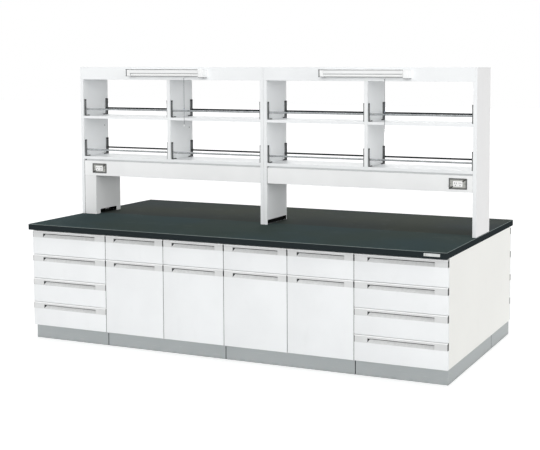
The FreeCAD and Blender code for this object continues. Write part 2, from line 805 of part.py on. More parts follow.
housings, tubes, caps = [], [], []
for side_name, middle in (("left", -module_middle), ("right", module_middle)):
    housing, tube, lamp_caps, mouth = lamp(middle)
    housings.append(housing)
    tubes.append(tube)
    caps += lamp_caps
    cord, cord_pieces = pull_switch(mouth)
    save(f"pull_cord_{side_name}", [cord])
    save(f"pull_knob_{side_name}", cord_pieces)
save("lamp_housings", housings)
save("lamp_tubes", tubes)
save("lamp_end_caps", caps)
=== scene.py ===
"""Looks of the double-sided laboratory bench and its reagent rack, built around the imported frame.

Metres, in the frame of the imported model: X runs along the bench, the front row faces -Y, +Z is up.
"""

import logging
import math
from dataclasses import dataclass, field
from enum import Enum
from functools import lru_cache
from typing import Callable, Optional, Union

import bmesh
import bpy
from mathutils import Matrix, Vector


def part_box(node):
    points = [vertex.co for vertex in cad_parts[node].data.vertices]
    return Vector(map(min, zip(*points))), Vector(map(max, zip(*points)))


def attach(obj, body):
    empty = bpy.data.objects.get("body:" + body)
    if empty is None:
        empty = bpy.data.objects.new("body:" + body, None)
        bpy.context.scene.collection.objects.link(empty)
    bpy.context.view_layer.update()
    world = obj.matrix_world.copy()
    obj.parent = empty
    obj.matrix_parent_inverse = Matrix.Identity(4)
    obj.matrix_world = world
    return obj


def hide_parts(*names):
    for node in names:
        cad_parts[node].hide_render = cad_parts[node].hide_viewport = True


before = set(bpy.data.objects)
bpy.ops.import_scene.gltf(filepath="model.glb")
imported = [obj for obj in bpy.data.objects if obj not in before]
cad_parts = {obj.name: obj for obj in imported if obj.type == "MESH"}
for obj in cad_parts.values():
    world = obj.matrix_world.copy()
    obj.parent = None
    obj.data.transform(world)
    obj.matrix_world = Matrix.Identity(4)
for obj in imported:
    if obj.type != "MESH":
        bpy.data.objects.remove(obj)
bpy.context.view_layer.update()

log = logging.getLogger("bench")

Piece = bpy.types.Object
Place = tuple[float, float, float]
Test = Callable[[Vector, Vector], bool]
Tool = Callable[[], set[str]]
Value = Union["Signal", float, tuple]
Span = tuple[float, float]
Sockets = dict[str, Value]
Profile = tuple[Span, ...]

# Coordinates that differ by less than this are the same.
TINY = 0.0001
# A face whose normal has more than this along an axis lies square to it.
SQUARE = 0.9
# What a pattern's frequency is multiplied by along each axis: evenly, or drawn out along one axis.
EVEN: Place = (1.0, 1.0, 1.0)
ALONG_X: Place = (0.01, 1.0, 1.0)
ALONG_Y: Place = (1.0, 0.01, 1.0)
ALONG_Z: Place = (1.0, 1.0, 0.01)
WHITE = (1.0, 1.0, 1.0, 1.0)


# ---- shader maths

def shade(code: str, lift: float = 1.0) -> tuple[float, float, float, float]:
    """Turns a hex colour into the linear values that a shader takes.

    Args:
        code: The colour, as "#rrggbb".
        lift: What its brightness is multiplied by.

    Returns:
        Red, green, blue and alpha.
    """
    channels = [int(code[start:start + 2], 16) / 255 for start in (1, 3, 5)]
    linear = [c / 12.92 if c <= 0.04045 else ((c + 0.055) / 1.055) ** 2.4 for c in channels]
    return (*(c * lift for c in linear), 1.0)


class Signal:
    """One output of a node, so that shader maths reads as a Python expression."""

    def __init__(self, recipe: "Recipe", socket: bpy.types.NodeSocket) -> None:
        """Wraps a socket of a recipe's node."""
        self.recipe = recipe
        self.socket = socket

    def maths(self, operation: str, *others: Value) -> "Signal":
        """This signal and the others through one Math node."""
        return self.recipe.maths(operation, self, *others)

    def __add__(self, other: Value) -> "Signal":
        """Sum."""
        return self.maths("ADD", other)

    __radd__ = __add__

    def __sub__(self, other: Value) -> "Signal":
        """Difference."""
        return self.maths("SUBTRACT", other)

    def __rsub__(self, other: Value) -> "Signal":
        """Difference, with this signal taken away."""
        return self.recipe.maths("SUBTRACT", other, self)

    def __mul__(self, other: Value) -> "Signal":
        """Product."""
        return self.maths("MULTIPLY", other)

    __rmul__ = __mul__

    def sine(self) -> "Signal":
        """Its sine."""
        return self.maths("SINE")

    def size(self) -> "Signal":
        """Its absolute value."""
        return self.maths("ABSOLUTE")

    def most(self, other: Value) -> "Signal":
        """The larger of the two."""
        return self.maths("MAXIMUM", other)

    def rise(self, low: float, high: float) -> "Signal":
        """A smooth step from 0 at `low` to 1 at `high`."""
        settings = {"interpolation_type": "SMOOTHSTEP"}
        return self.recipe.node("MapRange", settings, {"Value": self, "From Min": low, "From Max": high})


class Recipe:
    """Nodes of one material or of the world, written as expressions."""

    def __init__(self, tree: bpy.types.NodeTree) -> None:
        """Starts with an empty node tree."""
        self.tree = tree
        self.tree.nodes.clear()

    def node(self, kind: str, settings: Optional[dict] = None, inputs: Optional[dict] = None,
             output: Union[int, str] = 0) -> Signal:
        """Adds a node.

        Args:
            kind: Its type, without the "ShaderNode" prefix.
            settings: Its properties, which are set first.
            inputs: Values or signals, by the socket's name or number.
            output: The output that the signal carries.

        Returns:
            The chosen output.
        """
        made = self.tree.nodes.new("ShaderNode" + kind)
        for name, value in (settings or {}).items():
            setattr(made, name, value)
        for name, value in (inputs or {}).items():
            self.feed(made.inputs[name], value)
        return Signal(self, made.outputs[output])

    def result(self, kind: str, surface: Signal) -> None:
        """Ends the recipe at the material's or the world's output."""
        self.feed(self.tree.nodes.new("ShaderNodeOutput" + kind).inputs["Surface"], surface)

    def feed(self, socket: bpy.types.NodeSocket, value: Value) -> None:
        """Links a signal to a socket, or sets the socket's own value.

        Args:
            socket: An input of a node.
            value: What it gets.
        """
        if isinstance(value, Signal):
            self.tree.links.new(value.socket, socket)
        else:
            socket.default_value = value

    def maths(self, operation: str, *values: Value) -> Signal:
        """A Math node on two or three values."""
        return self.node("Math", {"operation": operation}, dict(enumerate(values)))

    def blend(self, factor: Value, first: Value, second: Value) -> Signal:
        """A colour that goes from `first` to `second` as the factor goes from 0 to 1."""
        return self.node("Mix", {"data_type": "RGBA"}, {0: factor, 6: first, 7: second}, 2)

    def place(self, stretch: Place = EVEN) -> Signal:
        """The point on the piece, in metres, scaled along each axis."""
        here = self.node("TexCoord", output="Object")
        return here if stretch == EVEN else self.node("Mapping", {}, {"Vector": here, "Scale": stretch})

    def axis(self, number: int) -> Signal:
        """One coordinate of the point, in metres: 0 is X, 1 is Y and 2 is Z."""
        return self.node("SeparateXYZ", {}, {0: self.place()}, number)

    def noise(self, size: float, detail: float = 2.0, stretch: Place = EVEN) -> Signal:
        """Soft noise from 0 to 1.

        Args:
            size: How large its patches are, in metres.
            detail: How many finer layers it has.
            stretch: What its frequency is multiplied by along each axis.

        Returns:
            The noise.
        """
        inputs = {"Vector": self.place(stretch), "Scale": 1.0 / size, "Detail": detail}
        return self.node("TexNoise", {}, inputs)

    def cells(self, size: float) -> Signal:
        """Distance to the nearest of scattered points, as a share of their spacing."""
        return self.node("TexVoronoi", {}, {"Vector": self.place(), "Scale": 1.0 / size})

    def scratches(self, width: float, length: float, amount: float) -> Signal:
        """Fine lines along X and along Y, a few of each.

        Args:
            width: Their width in metres.
            length: Their length in metres.
            amount: From 0 to 1, how many show.

        Returns:
            1 on a line and 0 between them.
        """
        low = 1.0 - 0.4 * amount
        lines = [self.noise(1.0, 3.0, stretch).rise(low - 0.06, low) for stretch in
                 ((1 / length, 1 / width, 1.0), (1 / width, 1 / length, 1.0))]
        return lines[0].most(lines[1])

    def rim(self, sharpness: float = 0.05) -> Signal:
        """Finds the rounded edges of a squared piece.

        Args:
            sharpness: How soon the mask begins as a face turns.

        Returns:
            1 on the rounded edges and 0 on the flat faces.
        """
        outward = self.node("TexCoord", output="Normal")
        normal = self.node("VectorMath", {"operation": "ABSOLUTE"}, {0: outward})
        sides = [self.node("SeparateXYZ", {}, {0: normal}, number) for number in range(3)]
        return 1.0 - sides[0].most(sides[1]).most(sides[2]).rise(1.0 - sharpness, 1.0 - sharpness / 8)

    def wear(self, size: float = 0.02) -> Signal:
        """Where the rounded edges have been rubbed, from 0 to 1."""
        return self.rim() * self.noise(size, 4.0).rise(0.42, 0.62)

    def bump(self, height: Signal, depth: float, strength: float = 1.0) -> Signal:
        """The normal of a surface that rises with `height` by up to `depth` metres."""
        return self.node("Bump", {}, {"Height": height, "Distance": depth, "Strength": strength})


# ---- finishes

@dataclass(frozen=True)
class Finish:
    """What every finish has.

    Attributes:
        label: The material's name.
        slot: The record's material slot that it belongs to; not used.
        colour: Its main colour.
        roughness: How dull it is.
    """

    label: str
    slot: str
    colour: str
    roughness: float

    def nodes(self, recipe: Recipe) -> Sockets:
        """Writes the finish.

        Args:
            recipe: Where its nodes go.

        Returns:
            What each of the shader's sockets gets.
        """
        raise NotImplementedError

    def material(self) -> bpy.types.Material:
        """Makes the material.

        Returns:
            The material.
        """
        made = bpy.data.materials.new(self.label)
        made.use_nodes = True
        recipe = Recipe(made.node_tree)
        shader = recipe.node("BsdfPrincipled")
        recipe.result("Material", shader)
        for name, value in self.nodes(recipe).items():
            recipe.feed(shader.socket.node.inputs[name], value)
        return made


@dataclass(frozen=True)
class Board(Finish):
    """Melamine-faced board: fine pearl grain, faint clouding, handling smears and rubbed edges."""

    worn: str = "#cfd2d1"
    grain: float = 0.0014
    grain_depth: float = 0.00004
    cloud: float = 0.35
    cloud_depth: float = 0.965
    smear: float = 0.06

    def nodes(self, recipe: Recipe) -> Sockets:
        """Clouded white with a duller smear here and there."""
        cloud = recipe.noise(self.cloud, 3.0).rise(0.35, 0.70)
        smear = recipe.noise(self.smear, 4.0, (1.0, 1.0, 0.4)).rise(0.55, 0.78)
        pearl = recipe.noise(self.grain, 2.0)
        clean = recipe.blend(cloud, shade(self.colour), shade(self.colour, self.cloud_depth))
        handled = recipe.blend(smear * 0.35, clean, shade(self.colour, self.cloud_depth * 0.97))
        return {
            "Base Color": recipe.blend(recipe.wear() * 0.55, handled, shade(self.worn)),
            "Roughness": self.roughness + smear * 0.12 + (pearl - 0.5) * 0.10 + recipe.wear() * 0.15,
            "Normal": recipe.bump(pearl + cloud * 0.5, self.grain_depth, 0.5),
            "Specular IOR Level": 0.35,
        }


@dataclass(frozen=True)
class Carcass(Board):
    """Cabinet board whose front edges, behind the drawers and doors, are painted nearly black as painted
    shade in the gaps between the fronts.
    """

    front_edge_shade: str = "#3c4042"
    front_edge_shade_start: Span = (0.6893, 0.6897)
    front_edge_shade_top: Span = (0.748, 0.749)

    def nodes(self, recipe: Recipe) -> Sockets:
        """The board, painted nearly black as painted shade where it faces outward under the top rail."""
        sockets = super().nodes(recipe)
        # Painted shade: the outward front edges, seen through the gaps between fronts, turn nearly black.
        outward = recipe.axis(1).size().rise(*self.front_edge_shade_start)
        under = 1.0 - recipe.axis(2).rise(*self.front_edge_shade_top)
        sockets["Base Color"] = recipe.blend(outward * under, sockets["Base Color"], shade(self.front_edge_shade))
        return sockets


@dataclass(frozen=True)
class PlinthLaminate(Finish):
    """Grey laminate at floor height: streaks along it, scuffs, and dust along the floor."""

    dust: str = "#8f9290"
    scuff: str = "#bfc3c2"
    dust_height: float = 0.022
    dust_patch: float = 0.03
    streak_width: float = 0.002
    cloud: float = 0.20
    scuff_size: float = 0.012
    relief: float = 0.00005

    def nodes(self, recipe: Recipe) -> Sockets:
        """Fine level streaks under scuffs and floor dust."""
        streak = recipe.noise(self.streak_width, 3.0, (0.01, 0.01, 1.0))
        cloud = recipe.noise(self.cloud, 3.0).rise(0.3, 0.7)
        scuffs = recipe.noise(self.scuff_size, 5.0, (0.18, 0.18, 1.6)).rise(0.62, 0.72)
        low = 1.0 - recipe.axis(2).rise(0.0, self.dust_height)
        dirt = low * recipe.noise(self.dust_patch, 4.0).rise(0.30, 0.75)
        base = recipe.blend(streak, shade(self.colour, 0.93), shade(self.colour, 1.06))
        clouded = recipe.blend(cloud * 0.4, base, shade(self.colour, 0.94))
        scuffed = recipe.blend(scuffs * 0.45, clouded, shade(self.scuff))
        dusty = recipe.blend(dirt * 0.6, scuffed, shade(self.dust))
        return {
            "Base Color": recipe.blend(recipe.wear() * 0.6, dusty, shade(self.scuff)),
            "Roughness": self.roughness + dirt * 0.25 + scuffs * 0.10 + (streak - 0.5) * 0.08,
            "Normal": recipe.bump(streak + scuffs * 0.6, self.relief, 0.5),
            "Specular IOR Level": 0.35,
        }


@dataclass(frozen=True)
class Worktop(Finish):
    """Chemical-resistant top: a dark green-grey wearing layer over a nearly black core.

    Attributes:
        cool: The colour that the layer's clouds drift to.
        core: The colour of the core.
        line: The colour of a painted highlight, a light band along the top of the edges.
        rubbed: The colour of scratches and rubbed edges; on the rounded edges it is partly a painted
            highlight.
        line_low: Heights between which the core turns into the painted highlight.
        line_high: Heights between which the painted highlight turns into the layer.
        scratch: Width, length and amount of the scratches.
    """

    cool: str = "#414f51"
    core: str = "#282e30"
    line: str = "#8b9593"
    rubbed: str = "#66706e"
    line_low: Span = (0.7970, 0.7976)
    line_high: Span = (0.7992, 0.7996)
    fleck_size: float = 0.0035
    grit_size: float = 0.0008
    cloud: float = 0.70
    stain_size: float = 0.16
    scratch: tuple[float, float, float] = (0.0006, 0.12, 0.58)
    rubbed_patch: float = 0.05
    relief: float = 0.00004

    def nodes(self, recipe: Recipe) -> Sockets:
        """Speckled layer on top, core at the edges with a painted highlight along their top, fine scratches
        and dried rings of water.
        """
        height = recipe.axis(2)
        on_top = height.rise(*self.line_high)
        on_highlight = height.rise(*self.line_low)
        fleck = 1.0 - recipe.cells(self.fleck_size).rise(0.08, 0.30)
        grit = recipe.noise(self.grit_size, 1.0)
        cloud = recipe.noise(self.cloud, 2.0).rise(0.30, 0.70)
        scratch = recipe.scratches(*self.scratch)
        ring = recipe.noise(self.stain_size, 3.0)
        stain = ring.rise(0.60, 0.66) * (1.0 - ring.rise(0.66, 0.72))
        tone = recipe.blend(cloud, shade(self.colour), shade(self.cool))
        flecked = recipe.blend(fleck * 0.22, tone, shade(self.colour, 1.5))
        top = recipe.blend(scratch * 0.15 + stain * 0.04, flecked, shade(self.rubbed))
        side = recipe.blend(grit, shade(self.core, 0.85), shade(self.core, 1.20))
        # Painted highlight: a light band along the top of the edges.
        edge = recipe.blend(on_highlight, side, shade(self.line))
        whole = recipe.blend(on_top, edge, top)
        return {
            # Rounded edges lightened in patches: wear, and partly a painted highlight.
            "Base Color": recipe.blend(recipe.wear(self.rubbed_patch) * 0.5, whole, shade(self.rubbed)),
            "Roughness": self.roughness + cloud * 0.06 - stain * 0.08 + (grit - 0.5) * 0.10,
            "Normal": recipe.bump(grit - scratch * 0.8, self.relief, 0.6),
            "Specular IOR Level": 0.01,
        }


@dataclass(frozen=True)
class Moulded(Finish):
    """Moulded plastic: spark-eroded grain, faint flow marks and polished edges."""

    grain: float = 0.0009
    grain_depth: float = 0.00003
    flow: float = 0.05
    rubbed_patch: float = 0.015
    speck_size: float = 0.004
    worn: Optional[str] = None
    gloss: float = 0.4

    def nodes(self, recipe: Recipe) -> Sockets:
        """Even colour with slow flow marks, and grain that is worn smooth on the edges."""
        grain = recipe.cells(self.grain)
        flow = recipe.noise(self.flow, 3.0, (0.3, 1.0, 1.0)).rise(0.35, 0.65)
        rubbed = recipe.wear(self.rubbed_patch)
        base = recipe.blend(flow, shade(self.colour), shade(self.colour, 0.95))
        speck = recipe.noise(self.speck_size, 3.0).rise(0.66, 0.74)
        flecked = recipe.blend(speck * 0.25, base, shade(self.colour, 0.86))
        worn = shade(self.worn) if self.worn else shade(self.colour, 0.84)
        return {
            "Base Color": recipe.blend(rubbed * 0.5, flecked, worn),
            "Roughness": self.roughness + (grain - 0.4) * 0.12 - rubbed * 0.12 + speck * 0.1,
            "Normal": recipe.bump(grain * (1.0 - rubbed), self.grain_depth, 0.5),
            "Specular IOR Level": self.gloss,
        }


@dataclass(frozen=True)
class Metal(Finish):
    """Bare or plated metal: brushing along one axis, cloudy plating and fingermarks.

    Attributes:
        brushing: What the brushing's frequency is multiplied by along each axis, least along its lines.
        blotch: How large the plating's patches are, in metres.
        contrast: How much darker the darkest patch is than the lightest.
        metallic: How metallic the surface is between marks.
    """

    brushing: Place = ALONG_X
    brush_width: float = 0.0007
    blotch: float = 0.02
    contrast: float = 0.2
    metallic: float = 1.0
    mark: str = "#6f6a60"
    mark_size: float = 0.035
    relief: float = 0.00003

    def nodes(self, recipe: Recipe) -> Sockets:
        """Brushed plating with marks that are duller and less metallic."""
        lines = recipe.noise(self.brush_width, 3.0, self.brushing)
        patch = recipe.noise(self.blotch, 3.0).rise(0.30, 0.70)
        mark = recipe.noise(self.mark_size, 5.0).rise(0.62, 0.72)
        plated = recipe.blend(patch * 0.6 + lines * 0.4, shade(self.colour, 1.0 - self.contrast),
                              shade(self.colour, 1.0 + self.contrast / 2))
        return {
            "Base Color": recipe.blend(mark * 0.3, plated, shade(self.mark)),
            "Roughness": self.roughness + (lines - 0.5) * 0.16 + mark * 0.15 + patch * 0.04,
            "Metallic": self.metallic - mark * 0.12,
            "Normal": recipe.bump(lines + patch * 0.4, self.relief, 0.4),
        }


@dataclass(frozen=True)
class PowderCoat(Finish):
    """Powder-coated sheet: orange peel, a few dust nibs and thin paint on the folds."""

    peel: float = 0.0045
    cloud: float = 0.30
    nib_spacing: float = 0.03
    relief: float = 0.00008
    thin: str = "#b9bcbb"

    def nodes(self, recipe: Recipe) -> Sockets:
        """Orange peel over clouded paint."""
        peel = recipe.noise(self.peel, 1.0)
        cloud = recipe.noise(self.cloud, 2.0).rise(0.35, 0.7)
        nib = 1.0 - recipe.cells(self.nib_spacing).rise(0.015, 0.04)
        paint = recipe.blend(cloud, shade(self.colour), shade(self.colour, 0.955))
        return {
            "Base Color": recipe.blend(recipe.wear() * 0.5 + nib * 0.2, paint, shade(self.thin)),
            "Roughness": self.roughness + (peel - 0.5) * 0.10 + cloud * 0.04,
            "Normal": recipe.bump(peel + nib * 0.5, self.relief, 0.5),
            "Specular IOR Level": 0.4,
        }


@dataclass(frozen=True)
class Opal(Finish):
    """The opal tube cover of a lamp: fine lengthwise prisms with painted shade stripes, dust along its top,
    and a weak painted glow though the lamp is off.
    """

    axis_y: float = -0.188
    axis_z: float = 1.818
    prisms: float = 40.0
    relief: float = 0.0002
    dusty: Span = (0.005, 0.0125)
    dust_patch: float = 0.02
    dust: str = "#c9c9c4"
    tone_patch: float = 0.12
    # A weak glow, painted light: the lamp is off.
    glow: float = 0.12

    def nodes(self, recipe: Recipe) -> Sockets:
        """Ribs around the tube's axis, and a little dust."""
        across, up = recipe.axis(1) - self.axis_y, recipe.axis(2) - self.axis_z
        rib = (recipe.maths("ARCTAN2", up, across) * self.prisms).sine()
        dust = up.rise(*self.dusty) * recipe.noise(self.dust_patch, 4.0).rise(0.35, 0.7)
        tone = recipe.blend(recipe.noise(self.tone_patch, 2.0), shade(self.colour), shade(self.colour, 0.97))
        # Painted shade: a darker stripe on every prism.
        ribbed = recipe.blend(rib.rise(0.4, 1.0) * 0.25, tone, shade(self.colour, 0.90))
        return {
            "Base Color": recipe.blend(dust * 0.5, ribbed, shade(self.dust)),
            "Roughness": self.roughness + dust * 0.3,
            "Normal": recipe.bump(rib, self.relief, 0.5),
            "Coat Weight": 0.3,
            "Emission Color": tone,
            "Emission Strength": self.glow,
        }


@dataclass(frozen=True)
class Braid(Finish):
    """The pull cord: a thin braid, read down its hanging length."""

    pitch: float = 0.0022
    grime: str = "#4c505a"
    grime_patch: float = 0.03
    relief: float = 0.0002

    def nodes(self, recipe: Recipe) -> Sockets:
        """Crossing strands with a grubby tone in patches."""
        down = recipe.axis(2) * (2 * math.pi / self.pitch)
        strand = down.sine().size()
        grime = recipe.noise(self.grime_patch, 4.0).rise(0.4, 0.7)
        base = recipe.blend(strand, shade(self.colour, 0.75), shade(self.colour, 1.1))
        return {
            "Base Color": recipe.blend(grime * 0.3, base, shade(self.grime)),
            "Roughness": self.roughness + grime * 0.1,
            "Normal": recipe.bump(strand, self.relief, 0.7),
        }


@dataclass(frozen=True)
class Cavity(Finish):
    """Painted shade for the unlit inside of a gap, joint or hole: nearly black, with a dusty bloom."""

    dust: str = "#2c2d2c"
    dust_patch: float = 0.008
    relief: float = 0.0002

    def nodes(self, recipe: Recipe) -> Sockets:
        """Nearly black with a dusty bloom."""
        dust = recipe.noise(self.dust_patch, 4.0).rise(0.5, 0.8)
        return {
            "Base Color": recipe.blend(dust * 0.3, shade(self.colour), shade(self.dust)),
            "Roughness": self.roughness + dust * 0.05,
            "Normal": recipe.bump(dust, self.relief, 0.5),
            "Specular IOR Level": 0.05,
        }


class Look(Enum):
    """The finishes of this bench."""

    FRONT = Board("front_white", "front_board", "#f1f3f4", 0.42)
    # Side edges of the fronts: an edge band darkened nearly to black, partly as painted shade in the gaps
    # between fronts.
    EDGE_BAND_GAP_SHADE = Moulded("edge_band_gap_shade", "front_board", "#2c3032", 0.50)
    # Painted shade: a warmer, greyer copy of the white board for the end panels.
    END = Board("end_white_painted_shade", "end_board", "#f0f0ec", 0.46, cloud=0.8, cloud_depth=0.98)
    CABINET = Board("cabinet_white", "cabinet_board", "#e6e7e5", 0.50, worn="#b9ad98")
    # Carcass board whose front edges are painted nearly black as painted shade in the gaps.
    CARCASS = Carcass("carcass_white", "cabinet_board", "#eeefed", 0.50, worn="#b9ad98")
    RACK = Board("rack_white", "rack_board", "#f3f5f6", 0.42)
    # Painted shade: a greyer copy of the rack white for upward faces under the shelves.
    DECK_SHADE = Board("shelf_deck_painted_shade", "rack_board", "#e6e8e9", 0.44)
    # Painted shade: a greyer copy of the rack white for the legs' outer faces.
    RACK_SIDE_SHADE = Board("rack_side_painted_shade", "rack_board", "#e8e8e8", 0.44, cloud=0.8, cloud_depth=0.98)
    PLINTH = PlinthLaminate("plinth_grey", "plinth_board", "#a9aeaf", 0.48)
    TOP = Worktop("worktop_front_resin", "worktop", "#424d4a", 0.82)
    # The rear slabs: a browner copy of the top's finish, whose different tone is painted shade and
    # reflection.
    TOP_REAR = Worktop("worktop_rear_resin", "worktop", "#454a44", 0.82, cool="#43494a")
    GRIP = Moulded("grip_grey", "front_board", "#dcdddd", 0.42)
    # Painted highlight: the top few millimetres of each grip strip.
    GRIP_HIGHLIGHT = Moulded("grip_painted_highlight", "front_board", "#fcfdfd", 0.30)
    # Painted shade for the grip strips: their ends, the recess walls and the channel under the lip.
    GRIP_SHADE = Moulded("grip_painted_shade", "front_board", "#2c2f30", 0.60)
    FOOT = Moulded("foot_black", "foot_plastic", "#1d1f21", 0.55, worn="#3a3c3e")
    RUNNER = Metal("runner_zinc", "runner_steel", "#b9bdc0", 0.34, brushing=ALONG_Y)
    DUCT = PowderCoat("duct_paint", "duct_paint", "#f8f9f9", 0.40)
    # Painted shade: a greyer copy of the duct's paint for the riser.
    RISER_SHADED = PowderCoat("riser_painted_shade", "duct_paint", "#f0f1f1", 0.40)
    RAIL = Metal("rail_chrome", "rail_chrome", "#b0b4b6", 0.22, contrast=0.3)
    # Painted shade: a near-black copy of the rails' chrome for the rear rails.
    RAIL_SHADED = Metal("rail_chrome_dark", "rail_chrome", "#2b2e30", 0.24, contrast=0.3)
    # Posts: chrome painted darker than the rods as painted shade, and a little lighter on their X-facing
    # sides as painted light.
    POST = Metal("post_chrome", "rail_chrome", "#676969", 0.28, brushing=ALONG_Z, contrast=0.3)
    POST_SIDE_LIT = Metal("post_side_painted_light", "rail_chrome", "#7b7d7e", 0.30, brushing=ALONG_Z, contrast=0.3)
    RAIL_CAP = Moulded("rail_cap_black", "rail_chrome", "#2a2d2e", 0.45)
    OUTLET = Metal("outlet_metal", "outlet_metal", "#a3a4a0", 0.38, metallic=0.7)
    OUTLET_RIM = Metal("outlet_rim", "outlet_metal", "#5f605f", 0.36, metallic=0.7)
    SOCKET = Moulded("socket_white", "socket_plastic", "#fcfcfb", 0.30, gloss=0.5)
    # Painted shade: nearly black inside the socket's slots, holes and groove.
    SOCKET_HOLE = Cavity("socket_hole_painted_shade", "socket_plastic", "#0b0c0c", 0.85)
    LAMP = PowderCoat("lamp_paint", "lamp_paint", "#f3f4f4", 0.34)
    LAMP_CAP = Moulded("lamp_cap_white", "lamp_plastic", "#f9fafa", 0.38)
    # Painted shade lines on the lamps: in the housing's groove, under the tube, and on the outer cap.
    LAMP_SEAL = Moulded("lamp_seal_grey", "lamp_plastic", "#484b4d", 0.60)
    # Painted shade: grey along the lip's lower edge and the caps' skirts.
    LAMP_UNDER = Moulded("lamp_underside_grey", "lamp_plastic", "#85888a", 0.60)
    DIFFUSER = Opal("lamp_diffuser", "lamp_diffuser", "#f7f8f7", 0.30)
    CORD = Braid("cord_braid", "cord_plastic", "#272c3a", 0.55)
    BEAD = Moulded("bead_grey", "knob_plastic", "#9aa2b2", 0.35)
    KNOB = Moulded("knob_plastic", "knob_plastic", "#f4f5f5", 0.30)
    SCREW = Metal("screw_zinc", "runner_steel", "#7d8183", 0.32, brushing=EVEN)
    NAME_PLATE = Metal("name_plate", "worktop", "#c9cccb", 0.30, contrast=0.1)
    # Painted shade: nearly black inside the cable notches and the riser.
    CAVITY = Cavity("cable_gap_painted_shade", "rack_board", "#0b0c0c", 0.85)
    # Painted shade: nearly black on faces inside joints and where parts meet the legs.
    JOINT_SHADE = Cavity("joint_painted_shade", "duct_paint", "#3c3f40", 0.80)
    # Painted shade: a greyer copy of the duct's paint for the recessed spacer rails.
    SPACER_SHADE = PowderCoat("spacer_painted_shade", "duct_paint", "#d3d5d6", 0.45)


@lru_cache(maxsize=None)
def finish(look: Look) -> bpy.types.Material:
    """The material of a look, made once."""
    return look.value.material()


# ---- modelling

class Element(Enum):
    """What an edit-mode selection is made of."""

    POINT = "VERT"
    EDGE = "EDGE"
    FACE = "FACE"


class Axis(Enum):
    """A direction of the bench's frame, by its number in a vector."""

    X = 0
    Y = 1
    Z = 2

    def turn(self) -> Place:
        """The turn that lays an upright part along this direction."""
        quarter = math.pi / 2
        return ((0.0, quarter, 0.0), (-quarter, 0.0, 0.0), (0.0, 0.0, 0.0))[self.value]


def at(value: float, place: float) -> bool:
    """Whether a coordinate lies at a place."""
    return abs(value - place) < TINY


def within(value: float, low: float, high: float) -> bool:
    """Whether a coordinate lies between two places, or at one of them."""
    return low - TINY < value < high + TINY


def everywhere(middle: Vector, normal: Vector) -> bool:
    """Picks all."""
    return True


def facing(axis: Axis, sign: int) -> Test:
    """Picks faces that look along a direction, or against it."""
    return lambda middle, normal: normal[axis.value] * sign > SQUARE


def running(axis: Axis) -> Test:
    """Picks edges that run along a direction."""
    return lambda middle, run: abs(run[axis.value]) > TINY


def lying(axis: Axis, place: float) -> Test:
    """Picks what lies at a place along a direction."""
    return lambda middle, run: at(middle[axis.value], place)


def below(height: float) -> Test:
    """Picks what lies lower than a height."""
    return lambda middle, normal: middle.z < height


def scaled(profile: Profile, length: float, radius: float) -> Profile:
    """Stations of a turned part, from a profile in shares of its length and radius."""
    return tuple((length * reach, radius * share) for reach, share in profile)


